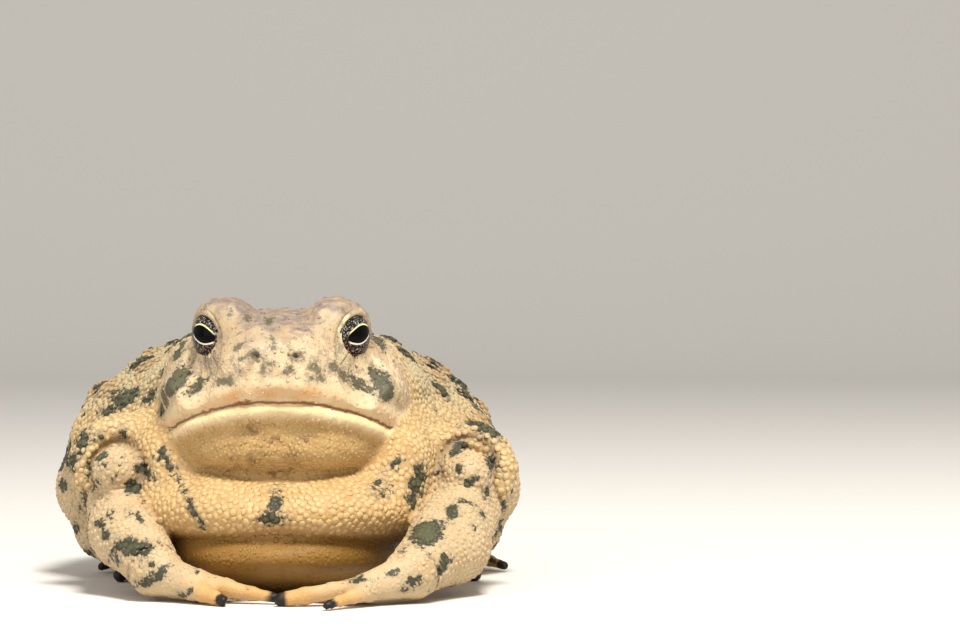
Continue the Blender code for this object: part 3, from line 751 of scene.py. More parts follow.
def tint(points, share):
    """Ground colour of the skin at each point, before the blotches and the fine grain, with painted shade on
    the belly, in the creases and in the nostrils.
    """
    x, y, z = points.T
    colour = np.tile(np.array(BUFF), (len(points), 1))
    chest = step_down(y, 14.0, 30.0) * step_down(np.abs(x), 16.0, 26.0)
    colour = mixed(colour, CREAM, chest)
    colour = mixed(colour, BACK_BUFF, share["back"])
    # The belly's own ochre, with painted shade of the underside that faces the floor
    colour = mixed(colour, BELLY_OCHRE_AND_SHADE, share["belly"])
    colour = mixed(colour, FACE_CREAM, share["face"])
    dun = step_up(z + 1.2 * waves(points, 5.0, 16), 34.5, 41.0) * share["face"]
    colour = mixed(colour, BROW_DUN, 0.75 * dun)
    colour = mixed(colour, THROAT_OCHRE, share["throat"] * 0.8)
    stain = np.zeros(len(points))
    for across, up, wide, high in STAINS:
        stain += bell(x, across, wide, z, up, high)
    flecks = step_up(waves(points, 2.2, 8) + 0.8 * waves(points, 1.1, 13), 0.0, 0.9)
    stain = clamped(stain) * share["throat"]
    colour = mixed(colour, STAIN_BROWN, clamped(stain * (0.20 + 0.62 * flecks)))
    colour = mixed(colour, LIP_CREAM, share["lip"] * 0.9)
    rust = bell(z - mouth_height(x, y) - 1.2, 0.5 * waves(points, 5.0, 9), 0.9) * share["face"]
    colour = mixed(colour, LIP_RUST, rust * np.clip(0.45 + 0.4 * waves(points, 3.0, 10), 0.0, 0.8)
                   * (1.0 - 0.7 * step_up(np.abs(x), 6.0, 14.0)))
    patchy = clamped(0.75 + 0.35 * waves(points, 1.8, 12))
    colour = mixed(colour, CROWN_PURPLE, share["crown"] * patchy)
    limbs = clamped(share["limb"] + share["hand"])
    colour = mixed(colour, LIMB_BUFF, limbs * (1.0 - 0.6 * share["back"]))
    colour = mixed(colour, HAND_ORANGE, share["hand"] * share["finger"])
    stripe = bell(x - CENTRE_LINE, 0.3 * waves(points, 12.0, 14), 0.8) * step_up(y, 26.0, 32.0)
    colour = mixed(colour, STRIPE_BUFF, stripe * step_up(z, 20.0, 28.0) * 0.85)
    rust_top = clamped(wart_rise(points) / 0.8) * step_up(y, 26.0, 30.0)
    colour = mixed(colour, WART_RUST, 0.65 * rust_top)
    # Painted shade in the creases round the shoulders, across the wrists and between arm and trunk
    colour = mixed(colour, PIT_AND_CREASE_SHADE, 0.85 * creases(points))
    for side in SIDES:
        far, angle, opening = eye_angles(points, side)
        away = points - eye_centre(side)
        near = step_down(far, 6.0, 8.0)
        low = step_up(-away[:, 2], 1.0, 3.0)
        colour = mixed(colour, LID_GREY, 0.9 * low * near * bell(angle - opening, 12.0, 10.0))
        inward = step_up(away @ opening_axes(side)[1], 0.5, 2.5)
        strength = 0.1 if side == "right" else 0.8
        colour = mixed(colour, RIM_YELLOW, strength * inward * near * step_down(angle - opening, -2.0, 0.5))
    # Painted shade in the nostril pits
    for seat in nostril_seats():
        reach = np.linalg.norm((points - seat) / vec(0.75, 1.6, 0.6), axis=1)
        colour = mixed(colour, PIT_AND_CREASE_SHADE, 0.9 * step_down(reach, 0.7, 1.3))
    tan = np.linalg.norm((points[:, (0, 2)] - vec(-3.5, 39.9)) / vec(1.7, 2.0), axis=1)
    tan = tan + 0.25 * waves(points, 2.0, 15)
    colour = mixed(colour, TAN, 0.8 * share["face"] * step_down(tan, 0.75, 1.1))
    return mixed(colour, TIP_BLACK, share["tip"])


def mottle_depth(points, share):
    """Small uneven dark flecks of flank, back and limbs: peaks of two overlaid waves."""
    peaks = waves(points, 5.2, 31) + 0.7 * waves(points, 2.6, 32)
    body = clamped(0.75 * share["back"] + share["limb"] * 0.45 + share["flank"] * 0.6)
    return 1.1 * (peaks - 1.75 + 0.85 * body) - 3.0 * (body < 0.05)


def dressed(piece, places, rise):
    """Write what the skin's material reads: ground colour, depth in the blotches, specks, and relief, whose
    low parts get painted shade.

    places holds one place for each run of points, such as the seat of a granule, so a granule has one tone.
    """
    share = regions(places)
    run = len(rise) // len(places)
    write_colours(piece.data, "tint", np.repeat(tint(places, share), run, axis=0))
    plainer = 3.0 * (share["belly"] + share["tip"] + share["lip"] + share["mouth"] + 0.6 * share["throat"])
    cheek = step_up(np.abs(places[:, 0]), 8.0, 12.0)
    numbers = {"ink": 1.0 - share["face"] * (0.36 - 0.32 * cheek)}
    numbers["blotch"] = np.maximum(blotch_depth(places), mottle_depth(places, share)) - plainer
    off = places[:, 2] - mouth_height(places[:, 0], places[:, 1])
    above_lip = step_up(off, 2.2, 4.6) * share["face"]
    numbers["specks"] = clamped(0.3 + 0.7 * above_lip - 0.3 * share["belly"] - 0.15 * share["throat"])
    on_head = head_share(places, (-1.0, 0.2), (18.0, 22.0))
    numbers["mouth_off"] = off + 5.0 * (1.0 - on_head) * np.where(off < 0.0, -1.0, 1.0)
    for name, values in numbers.items():
        write_numbers(piece.data, name, np.repeat(values, run))
    write_numbers(piece.data, "rise", rise)


def creases(points):
    """Shares from 0 to 1 of the narrow creases, which are sunk in the skin and given painted shade: round
    each knob of the shoulder, and across each wrist.
    """
    deep = np.zeros(len(points))
    for side, knob in (("right", (-25.6, 18.8)), ("left", (28.6, 19.4))):
        from_knob = points[:, (0, 2)] - vec(*knob)
        radius = np.linalg.norm(from_knob, axis=1)
        above = step_up(from_knob[:, 1], -2.6, -0.8) * step_down(points[:, 1], 22.0, 25.0)
        deep = np.maximum(deep, above * bell(radius, 4.4, 0.55))
        wrist = FOREARM[side][-1]
        along = unit(wrist["end"] - wrist["start"])
        past = (points - wrist["end"]) @ along - 0.4 * waves(points, 5.0, 27)
        near = step_down(np.linalg.norm(points - wrist["end"], axis=1), 4.4, 5.4)
        deep = np.maximum(deep, 0.8 * near * bell(past, 0.0, 0.34))
        arm = np.minimum.reduce([distance(points, mass) for mass in UPPER_ARM[side] + FOREARM[side]])
        beside = (blended(points, TRUNK) - arm - 0.3 * waves(points, 6.0, 28)) / 0.4
        on_arm = step_down(arm, 0.8, 1.8) * step_down(points[:, 1], 24.0, 30.0)
        deep = np.maximum(deep, 0.75 * on_arm * np.exp(-beside ** 2))
    return deep


def finger_joints(points):
    """Swell of the two knuckles of each finger and toe, at set shares of its length."""
    swell = np.zeros(len(points))
    for side in SIDES:
        for mass in HAND[side][1:] + FOOT[side][1:]:
            axis = mass["end"] - mass["start"]
            share = (points - mass["start"]) @ axis / (axis @ axis)
            near = step_down(distance(points, mass), 0.15, 0.5)
            for seat in (0.40, 0.72):
                swell += near * (0.15 * bell(share, seat, 0.055)
                                 - 0.07 * bell(share - seat, 0.10, 0.022))
    return swell


def head_details(points):
    """Crests behind the eyes, and the round ear drum on each side of the head with its raised ring."""
    x, y, z = points.T
    side = np.abs(x)
    on_top = step_up(z, 37.0, 39.0)
    crest = bell(y - 21.8, 0.25 * (side - 8.0), 0.9)
    crest = crest * step_up(side, 3.5, 5.0) * step_down(side, 12.0, 14.0)
    drum = np.sqrt(((y - 22.6) / 1.7) ** 2 + ((z - 34.2) / 2.1) ** 2)
    outer = step_up(side, 11.0, 13.0)
    ring = 0.16 * bell(drum, 1.0, 0.16) - 0.22 * step_down(drum, 0.75, 1.0)
    return 0.55 * crest * on_top + ring * outer


def finer(piece, picked):
    """Halve the edges whose two ends are both picked, so that part of the mesh can hold finer relief."""
    mesh = piece.data
    ends = np.empty(len(mesh.edges) * 2, dtype=np.int32)
    mesh.edges.foreach_get("vertices", ends)
    chosen = np.nonzero(picked[ends.reshape(-1, 2)].all(axis=1))[0]
    shape = bmesh.new()
    shape.from_mesh(mesh)
    shape.edges.ensure_lookup_table()
    edges = [shape.edges[number] for number in chosen]
    bmesh.ops.subdivide_edges(shape, edges=edges, cuts=1, use_grid_fill=True)
    shape.to_mesh(mesh)
    shape.free()
    mesh.update()


def shuffled(piece):
    """Put a piece's faces in a random order, so that what is scattered face by face shows no rows."""
    order = np.random.default_rng(SEED + 9).permutation(len(piece.data.polygons))
    shape = bmesh.new()
    shape.from_mesh(piece.data)
    shape.faces.index_update()
    shape.faces.sort(key=lambda face: order[face.index])
    shape.to_mesh(piece.data)
    shape.free()


def nostril_seats():
    """Seats of the two nostrils on the snout."""
    return seen_seats(np.array([(-NOSTRIL_SPREAD, NOSTRIL_HEIGHT), (NOSTRIL_SPREAD, NOSTRIL_HEIGHT)]))


def lid_folds(points):
    """Swell of the pouch under each eye, and the furrow that parts it from the cheek."""
    swell = np.zeros(len(points))
    for side in SIDES:
        far, angle, opening = eye_angles(points, side)
        beyond = angle - opening
        height = points[:, 2] - EYE_CENTRE[2]
        low = step_up(-height, 0.5, 3.0)
        swell += 0.40 * low * bell(beyond, 15.0, 6.0)
        swell -= 0.32 * low * bell(beyond, 29.0, 6.0)
        high = step_up(height, 0.5, 3.0)
        swell += 0.16 * high * bell(beyond, 11.0, 5.0)
        swell -= 0.14 * high * bell(beyond, 24.0, 5.0)
    return swell


def face_relief(points, share):
    """Fine relief of the head: the mouth's groove, nostril pits with raised rims, lid folds and wrinkles."""
    x, y, z = points.T
    off = z - mouth_height(x, y) - 0.10 * waves(points, 3.2, 21)
    on_head = head_share(points, (-0.6, 0.4), (19.0, 23.0))
    relief = -0.34 * bell(off, 0.0, 0.33) * on_head
    relief += 0.10 * bell(off, 0.9, 0.5) * on_head
    for seat in nostril_seats():
        sign = math.copysign(1.0, seat[0])
        from_seat = (points - seat) / vec(0.50, 0.8, 0.36)
        across = from_seat[:, 0] * 0.85 + sign * 0.5 * from_seat[:, 2]
        upward = from_seat[:, 2] * 0.85 - sign * 0.5 * from_seat[:, 0]
        reach = np.sqrt(across ** 2 + upward ** 2 + from_seat[:, 1] ** 2)
        relief += -0.85 * np.exp(-reach ** 2) + 0.24 * bell(reach, 1.9, 0.6)
    rough = waves(points, 1.5, 22) * 0.045 + waves(points, 0.95, 23) * 0.04
    relief += rough * share["face"]
    craggy = np.abs(waves(points, 2.6, 24)) * 0.30 + np.abs(waves(points, 1.4, 25)) * 0.16
    relief += (craggy - 0.12) * share["crown"]
    wrinkle = np.sin(2.0 * math.pi * (off + 0.35 * waves(points, 4.0, 26)) / 1.5)
    relief += 0.05 * wrinkle * share["throat"]
    relief += 0.35 * share["gland"] + (finger_joints(points) - 0.7 * creases(points)) * (1.0 - share["face"])
    return relief + lid_folds(points) + head_details(points)


def clear_of_eyes(points):
    """Round each opening, lift what lies under the eyeball's surface out to just over it."""
    for side in SIDES:
        far, angle, opening = eye_angles(points, side)
        beyond = step_up(angle - opening, 0.5, 3.0)
        least = np.where(beyond > 0.0, EYE_RADIUS - 0.3 + 0.5 * beyond, 0.0)
        lift = np.maximum(least - far, 0.0) * (far > 0.6 * EYE_RADIUS)
        points = points + unit(points - eye_centre(side)) * lift[:, None]
    return points


def skin_piece():
    """The toad's whole skin, fused from its masses, with a finer mesh on the head."""
    points, faces, count = [], [], 0
    for mass in all_masses():
        part, groups = mass_surface(mass)
        points.append(part)
        faces += [group + count for group in groups]
        count += len(part)
    piece = mesh_of("skin", np.concatenate(points), faces)
    remeshed(piece, FUSE_VOXEL)
    write_points(piece.data, settle(whole_field, read_points(piece.data), 4))
    remeshed(piece, SKIN_VOXEL)
    evened(piece, 4)
    points = settle(whole_field, read_points(piece.data), 2)
    write_points(piece.data, points)
    on_head = head_share(points, (-1.5, 0.5), (22.0, 30.0))
    finer(piece, on_head > 0.3)
    shuffled(piece)
    points = settle(whole_field, read_points(piece.data), 2)
    outward = unit(gradient(whole_field, points))
    points = settle(skin_field, points, 3)
    rise = wart_rise(points) + face_relief(points, regions(points))
    points = clear_of_eyes(points + outward * rise[:, None])
    points[:, 2] = np.maximum(points[:, 2], 0.0)
    write_points(piece.data, points)
    return piece, points


def granule_cover(points):
    """How thickly coarse, limb and fine granules and the face's bumps sit at each point, from 0 to 1."""
    share = regions(points)
    bare = clamped(share["tip"] + share["mouth"] + share["lip"] + share["finger"] + creases(points))
    fine = clamped(share["belly"] + share["hand"] + share["throat"] + share["gland"])
    face = share["face"] * (1.0 - share["throat"])
    limb = clamped(share["limb"]) * (1.0 - fine) * (1.0 - bare)
    coarse = (1.0 - fine) * (1.0 - face) * (1.0 - bare) * step_down(limb, 0.3, 0.7)
    clear_of_floor = step_up(points[:, 2], 0.2, 0.8)
    for side in SIDES:
        from_eye = np.linalg.norm(points - eye_centre(side), axis=1)
        face = face * step_up(from_eye, 6.2, 7.5)
        coarse = coarse * step_up(from_eye, 6.2, 7.5)
    return {
        "coarse": coarse * clear_of_floor,
        "limb": step_up(limb, 0.3, 0.7) * clear_of_floor,
        "fine": fine * (1.0 - 0.6 * share["hand"]) * (1.0 - bare) * clear_of_floor,
        "face": face * (1.0 - bare),
    }


def scatter_tree(spacing, cover_name, seed):
    """Nodes that spread points over faces, no two nearer than spacing, thinned by a named share."""
    tree = bpy.data.node_groups.new("scatter", "GeometryNodeTree")
    tree.interface.new_socket("Geometry", in_out="INPUT", socket_type="NodeSocketGeometry")
    tree.interface.new_socket("Geometry", in_out="OUTPUT", socket_type="NodeSocketGeometry")
    enter = tree.nodes.new("NodeGroupInput")
    leave = tree.nodes.new("NodeGroupOutput")
    spread = tree.nodes.new("GeometryNodeDistributePointsOnFaces")
    spread.distribute_method = "POISSON"
    spread.inputs["Distance Min"].default_value = spacing
    spread.inputs["Density Max"].default_value = 6.0 / (spacing * spacing)
    spread.inputs["Seed"].default_value = seed
    cover = tree.nodes.new("GeometryNodeInputNamedAttribute")
    cover.data_type = "FLOAT"
    cover.inputs["Name"].default_value = cover_name
    as_points = tree.nodes.new("GeometryNodePointsToVertices")
    tree.links.new(enter.outputs[0], spread.inputs["Mesh"])
    tree.links.new(cover.outputs["Attribute"], spread.inputs["Density Factor"])
    tree.links.new(spread.outputs["Points"], as_points.inputs["Points"])
    tree.links.new(as_points.outputs[0], leave.inputs[0])
    return tree


def scattered(skin, spacing, cover_name, seed):
    """Seats spread over the skin like real granules, by Blender's Poisson disk scatter."""
    copy = skin.copy()
    copy.data = skin.data.copy()
    bpy.context.scene.collection.objects.link(copy)
    scatter = copy.modifiers.new("Scatter", "NODES")
    scatter.node_group = scatter_tree(spacing, cover_name, seed)
    applied(copy)
    seats = read_points(copy.data)
    bpy.data.objects.remove(copy, do_unlink=True)
    return seats


GRANULE_SIDES = 7
# So many fit in one piece under 200,000 triangles
MOST_GRANULES = 7400
# Each ring of a granule: its radius and its height over the seat, in units of the granule's radius
BOLD_RINGS = ((1.0, -0.35), (0.80, 0.30))
SOFT_RINGS = ((1.0, -0.40), (0.62, 0.28))
GRANULE_TOP = 0.44


def granule_piece(name, seats, radii, heights, seed, bold):
    """Closed domes, one on each seat: a seven-sided profile of two rings and a top, over a flat foot."""
    random = np.random.default_rng(seed)
    outward = unit(gradient(whole_field, seats))
    level = unit(np.cross(outward, unit(random.normal(size=seats.shape))))
    beside = np.cross(outward, level)
    turn = np.linspace(0.0, 2.0 * math.pi, GRANULE_SIDES, endpoint=False)
    stretch = random.uniform(0.85, 1.2, len(seats))
    rings = []
    for reach, height in BOLD_RINGS if bold else SOFT_RINGS:
        long = (level * (radii * reach * stretch)[:, None])[:, None, :]
        short = (beside * (radii * reach / stretch)[:, None])[:, None, :]
        lift = (outward * (heights * height)[:, None])[:, None, :]
        spin = seats[:, None, :] + np.cos(turn)[:, None] * long + np.sin(turn)[:, None] * short
        rings.append(spin + lift)
    top = (seats + outward * (heights * GRANULE_TOP)[:, None])[:, None, :]
    corners = np.concatenate(rings + [top], axis=1)
    each = corners.shape[1]
    steps = np.arange(GRANULE_SIDES)
    after = (steps + 1) % GRANULE_SIDES
    wall = np.stack([steps, after, after + GRANULE_SIDES, steps + GRANULE_SIDES], axis=1)
    cap = np.stack([steps + GRANULE_SIDES, after + GRANULE_SIDES, np.full(GRANULE_SIDES, each - 1)], axis=1)
    foot = steps[::-1][None, :]
    shift = (np.arange(len(seats)) * each)[:, None, None]
    groups = [(group[None] + shift).reshape(-1, group.shape[1]) for group in (wall, cap, foot)]
    piece = mesh_of(name, corners.reshape(-1, 3), groups)
    # The feet and walls of each granule read low, so the skin's material paints shade on them
    foot_rise, wall_rise = (0.2, 0.75) if bold else (0.6, 0.88)
    rise = np.concatenate([np.full(GRANULE_SIDES, foot_rise), np.full(GRANULE_SIDES, wall_rise), [1.0]])
    rise = np.tile(rise, len(seats))
    dressed(piece, seats + random.normal(0.0, 0.12, seats.shape), rise)
    return piece


def new_material(name):
    """A new material, its node tree and its shader node."""
    finish = bpy.data.materials.new(name)
    finish.use_nodes = True
    tree = finish.node_tree
    return finish, tree, tree.nodes["Principled BSDF"]


def join(tree, source, target):
    tree.links.new(source, target)


def maths(tree, operation, first, second, clamp=False):
    """One sum on two sockets or numbers."""
    node = tree.nodes.new("ShaderNodeMath")
    node.operation = operation
    node.use_clamp = clamp
    for socket, value in zip(node.inputs, (first, second)):
        if isinstance(value, (int, float)):
            socket.default_value = value
        else:
            join(tree, value, socket)
    return node.outputs[0]


def ramp(tree, value, low, high):
    """0 under low, 1 over high and a smooth step between."""
    node = tree.nodes.new("ShaderNodeMapRange")
    node.interpolation_type = "SMOOTHSTEP"
    join(tree, value, node.inputs["Value"])
    node.inputs["From Min"].default_value = low
    node.inputs["From Max"].default_value = high
    return node.outputs["Result"]


def colour_mix(tree, share, first, second, mode="MIX"):
    """Blend two colours, each a socket or a fixed colour, by a socket from 0 to 1."""
    node = tree.nodes.new("ShaderNodeMix")
    node.data_type = "RGBA"
    node.blend_type = mode
    join(tree, share, node.inputs[0])
    for socket, colour in ((node.inputs[6], first), (node.inputs[7], second)):
        if isinstance(colour, tuple):
            socket.default_value = (*colour, 1.0)
        else:
            join(tree, colour, socket)
    return node.outputs[2]


def grain(tree, scale, detail=2.0, roughness=0.5):
    """Even noise on the object's own place, with so many waves a metre."""
    place = tree.nodes.new("ShaderNodeTexCoord")
    noise = tree.nodes.new("ShaderNodeTexNoise")
    noise.inputs["Scale"].default_value = scale
    noise.inputs["Detail"].default_value = detail
    noise.inputs["Roughness"].default_value = roughness
    join(tree, place.outputs["Object"], noise.inputs["Vector"])
    return noise.outputs["Fac"]


def cells(tree, scale):
    """Distance to the nearest of many scattered points, for pores and tiny pebbles."""
    place = tree.nodes.new("ShaderNodeTexCoord")
    dots = tree.nodes.new("ShaderNodeTexVoronoi")
    dots.inputs["Scale"].default_value = scale
    join(tree, place.outputs["Object"], dots.inputs["Vector"])
    return dots.outputs["Distance"]


def named(tree, name, output="Fac"):
    node = tree.nodes.new("ShaderNodeAttribute")
    node.attribute_name = name
    return node.outputs[output]


BLOTCH_BLACK = (0.020, 0.023, 0.014)
BLOTCH_OLIVE = (0.120, 0.124, 0.060)
# Painted shade of the narrow groove between the lips
MOUTH_GROOVE_SHADE = (0.22, 0.085, 0.03)
HAZE_GREY = (0.30, 0.25, 0.16)
SMUDGE_GREY = (0.27, 0.205, 0.165)
SPECK_BROWN = (0.10, 0.055, 0.03)
DAPPLE_TAN = (0.40, 0.28, 0.16)
# Painted shade for the crevices between granules
CREVICE_SHADE = (0.70, 0.56, 0.38)


def skin_material():
    """Ground colour from the points, then painted shade in the crevices, clouds, blotches with olive middles,
    and specks.
    """
    finish, tree, shader = new_material("toad_skin")
    ground = named(tree, "tint", "Color")
    rise = named(tree, "rise")
    # Painted shade: the lower the relief, the darker, for the shade in the crevices between granules
    crevice_shade = maths(tree, "SUBTRACT", 1.0, rise, clamp=True)
    ground = colour_mix(tree, maths(tree, "MULTIPLY", crevice_shade, 0.62), ground, CREVICE_SHADE, "MULTIPLY")
    cloud = ramp(tree, grain(tree, 320.0, 3.0), 0.35, 0.70)
    ground = colour_mix(tree, maths(tree, "MULTIPLY", cloud, 0.30), ground, (0.72, 0.62, 0.48), "MULTIPLY")
    smudge = ramp(tree, grain(tree, 520.0, 6.0, 0.68), 0.50, 0.575)
    smudge = maths(tree, "MULTIPLY", smudge, ramp(tree, named(tree, "specks"), 0.4, 1.0))
    ground = colour_mix(tree, maths(tree, "MULTIPLY", smudge, 0.66), ground, SMUDGE_GREY)
    dapple = ramp(tree, grain(tree, 300.0, 4.0, 0.6), 0.49, 0.58)
    dapple = maths(tree, "MULTIPLY", dapple, ramp(tree, named(tree, "specks"), 0.4, 1.0))
    ground = colour_mix(tree, maths(tree, "MULTIPLY", dapple, 0.55), ground, DAPPLE_TAN)
    wander = maths(tree, "SUBTRACT", grain(tree, 620.0, 3.0, 0.6), 0.5)
    fray = maths(tree, "SUBTRACT", grain(tree, 2400.0, 2.0), 0.5)
    edge = maths(tree, "ADD", maths(tree, "MULTIPLY", wander, 2.6), maths(tree, "MULTIPLY", fray, 1.2))
    depth = maths(tree, "ADD", named(tree, "blotch"), edge)
    haze = maths(tree, "MULTIPLY", ramp(tree, depth, -1.1, 0.1), 0.5)
    ground = colour_mix(tree, haze, ground, HAZE_GREY)
    ink = maths(tree, "MULTIPLY", named(tree, "ink"), 0.94)
    dark = maths(tree, "MULTIPLY", ramp(tree, depth, -0.28, 0.18), ink)
    crest = maths(tree, "MULTIPLY", ramp(tree, rise, 0.7, 1.0), ramp(tree, depth, 0.1, 0.5))
    middle = maths(tree, "MULTIPLY", ramp(tree, depth, 0.45, 1.0), 0.55)
    olive = maths(tree, "MAXIMUM", maths(tree, "MULTIPLY", crest, 0.5), middle)
    marked = colour_mix(tree, dark, ground, BLOTCH_BLACK)
    marked = colour_mix(tree, olive, marked, BLOTCH_OLIVE)
    freckle = ramp(tree, grain(tree, 1500.0, 3.0, 0.65), 0.62, 0.68)
    freckle = maths(tree, "MULTIPLY", freckle, maths(tree, "MULTIPLY", named(tree, "specks"), 0.75))
    marked = colour_mix(tree, freckle, marked, SPECK_BROWN)
    # Painted shade: a thin dark line along the mouth, for the shadow in the groove between the lips
    stray = maths(tree, "MULTIPLY", maths(tree, "SUBTRACT", grain(tree, 700.0, 3.0), 0.5), 0.7)
    off = maths(tree, "ABSOLUTE", maths(tree, "ADD", named(tree, "mouth_off"), stray), 0.0)
    mouth_shade = maths(tree, "SUBTRACT", 1.0, ramp(tree, off, 0.08, 0.34))
    marked = colour_mix(tree, maths(tree, "MULTIPLY", mouth_shade, 0.9), marked, MOUTH_GROOVE_SHADE)
    join(tree, marked, shader.inputs["Base Color"])
    shader.inputs["Roughness"].default_value = 0.5
    shader.inputs["Specular IOR Level"].default_value = 0.3
    shader.inputs["Subsurface Weight"].default_value = 0.0
    pores = maths(tree, "MULTIPLY", cells(tree, 2600.0), 0.7)
    relief = maths(tree, "ADD", pores, maths(tree, "MULTIPLY", grain(tree, 5200.0, 3.0), 0.6))
    bump = tree.nodes.new("ShaderNodeBump")
    bump.inputs["Strength"].default_value = 0.55
    bump.inputs["Distance"].default_value = 0.00016
    join(tree, relief, bump.inputs["Height"])
    join(tree, bump.outputs["Normal"], shader.inputs["Normal"])
    return finish


IRIS_BLACK = (0.014, 0.012, 0.009)
PUPIL_BLACK = (0.002, 0.002, 0.002)
IRIS_GOLD = (0.50, 0.45, 0.40)
IRIS_COPPER = (0.55, 0.30, 0.19)
PUPIL_RING_GOLD = (0.75, 0.70, 0.36)
PUPIL_RING_PALE = (0.85, 0.80, 0.66)
PUPIL_HALF_WIDTH = 31.0
PUPIL_HALF_HEIGHT = 16.0
PUPIL_RISE = 3.0
PUPIL_TILT = 0.5


def iris_material():
    """Iris and pupil from the eyeball's own map, which holds azimuth and elevation in degrees over 90."""
    finish, tree, shader = new_material("iris")
    place = tree.nodes.new("ShaderNodeUVMap")
    place.uv_map = "globe"
    parts = tree.nodes.new("ShaderNodeSeparateXYZ")
    join(tree, place.outputs["UV"], parts.inputs["Vector"])
    across = maths(tree, "DIVIDE", parts.outputs["X"], PUPIL_HALF_WIDTH / 90.0)
    upward = maths(tree, "DIVIDE", maths(tree, "SUBTRACT", parts.outputs["Y"], PUPIL_RISE / 90.0),
                   PUPIL_HALF_HEIGHT / 90.0)
    sideways = maths(tree, "MULTIPLY", across, across)
    pinch = maths(tree, "ADD", 1.0, maths(tree, "MULTIPLY", sideways, 0.4))
    upward = maths(tree, "SUBTRACT", upward, maths(tree, "MULTIPLY", across, PUPIL_TILT))
    upward = maths(tree, "MULTIPLY", upward, pinch)
    reach = maths(tree, "SQRT", maths(tree, "ADD", sideways, maths(tree, "MULTIPLY", upward, upward)), 0.0)
    close = maths(tree, "SUBTRACT", 1.0, maths(tree, "MULTIPLY", ramp(tree, reach, 1.6, 3.4), 0.5))
    fleck = maths(tree, "MULTIPLY", ramp(tree, grain(tree, 3300.0, 4.0, 0.7), 0.52, 0.62), close)
    low_half = maths(tree, "SUBTRACT", 1.0, ramp(tree, upward, -0.6, 0.6))
    copper = maths(tree, "MULTIPLY", ramp(tree, grain(tree, 1500.0, 2.0), 0.35, 0.6), low_half)
    gold = colour_mix(tree, copper, IRIS_GOLD, IRIS_COPPER)
    dark = colour_mix(tree, maths(tree, "MULTIPLY", fleck, 0.8), IRIS_BLACK, gold)
    over = ramp(tree, upward, -0.1, 0.1)
    ring_colour = colour_mix(tree, over, PUPIL_RING_PALE, PUPIL_RING_GOLD)
    beyond_rim = ramp(tree, reach, 1.17, 1.24)
    rim = maths(tree, "MULTIPLY", ramp(tree, reach, 1.0, 1.05), maths(tree, "SUBTRACT", 1.0, beyond_rim))
    upright = maths(tree, "ABSOLUTE", upward, 0.0)
    rim = maths(tree, "MULTIPLY", rim, ramp(tree, upright, 0.25, 0.6))
    outlying = maths(tree, "ABSOLUTE", across, 0.0)
    rim = maths(tree, "MULTIPLY", rim, maths(tree, "SUBTRACT", 1.0, ramp(tree, outlying, 0.75, 1.0)))
    border = ramp(tree, named(tree, "to_lid"), -7.0, -4.0)
    ringed = colour_mix(tree, rim, dark, ring_colour)
    pupil = maths(tree, "SUBTRACT", 1.0, ramp(tree, reach, 0.96, 1.02))
    eye = colour_mix(tree, pupil, ringed, PUPIL_BLACK)
    eye = colour_mix(tree, maths(tree, "MULTIPLY", border, 0.85), eye, IRIS_BLACK)
    join(tree, eye, shader.inputs["Base Color"])
    shader.inputs["Roughness"].default_value = 0.07
    shader.inputs["IOR"].default_value = 1.2
    shader.inputs["Specular IOR Level"].default_value = 0.3
    return finish


def eyeball(side):
    """A ball of the eye's radius with its poles on the gaze line, and a map of azimuth and elevation."""
    sign = -1.0 if side == "right" else 1.0
    rings, around = 40, 64
    facing = np.array(Vector(gaze(side)).to_track_quat("Z", "Y").to_matrix())
    out = unit_globe(rings, around) @ facing.T
    points = placed(out * EYE_RADIUS + eye_centre(side))
    piece = mesh_of(f"eyeball_{side}", points, closed_grid(rings, around))
    azimuth = (np.degrees(np.arctan2(out[:, 0] * sign, -out[:, 1])) - PUPIL_AZIMUTH[side]) / 90.0
    elevation = np.degrees(np.arcsin(np.clip(out[:, 2], -1.0, 1.0))) / 90.0
    corners = np.empty(len(piece.data.loops), dtype=np.int32)
    piece.data.loops.foreach_get("vertex_index", corners)
    layer = piece.data.uv_layers.new(name="globe")
    layer.data.foreach_set("uv", np.stack([azimuth, elevation], axis=1)[corners].astype(np.float32).ravel())
    _, angle, opening = eye_angles(out + eye_centre(side), side)
    write_numbers(piece.data, "to_lid", angle - opening)
    piece.data.shade_smooth()
    return piece


def lid_piece(side):
    """The lid's rim: a round profile carried along the edge of the eye's opening, thicker over the eye."""
    steps, around = 72, 12
    turn = np.linspace(0.0, 2.0 * math.pi, steps, endpoint=False)
    forward, inward, upward = opening_axes(side)
    opening = np.radians(opening_reach(np.cos(turn), np.sin(turn)) + 1.0)
    spoke = np.cos(turn)[:, None] * inward + np.sin(turn)[:, None] * upward
    way = np.cos(opening)[:, None] * forward + np.sin(opening)[:, None] * spoke
    path = eye_centre(side) + way * (EYE_RADIUS + 0.16)
    thick = LID_THICKNESS + 0.16 * clamped(np.sin(turn)) + 0.06 * clamped(-np.sin(turn))
    along = unit(np.roll(path, -1, axis=0) - np.roll(path, 1, axis=0))
    beside = unit(np.cross(along, way))
    spin = np.linspace(0.0, 2.0 * math.pi, around, endpoint=False)
    rings = (path[:, None, :] + np.cos(spin)[None, :, None] * (way * thick[:, None])[:, None, :]
             + np.sin(spin)[None, :, None] * (beside * thick[:, None] * 1.4)[:, None, :])
    place, step = np.meshgrid(np.arange(steps), np.arange(around), indexing="ij")
    first = place * around + step
    after = ((place + 1) % steps) * around
    later = (step + 1) % around
    quads = np.stack([first, place * around + later, after + later, after + step], axis=-1).reshape(-1, 4)
    points = rings.reshape(-1, 3)
    piece = mesh_of(f"lid_{side}", points, [quads])
    dressed(piece, points, np.ones(len(points)))
    return piece


def finished(piece, material, slot, nodes=()):
    """Place a piece in the frame, give it its finish and let it ride on the toad."""
    write_points(piece.data, placed(read_points(piece.data)))
    piece.data.shade_smooth()
    piece.data.materials.clear()
    piece.data.materials.append(material)
    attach(piece, "root")
    if nodes:
        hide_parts(*nodes)


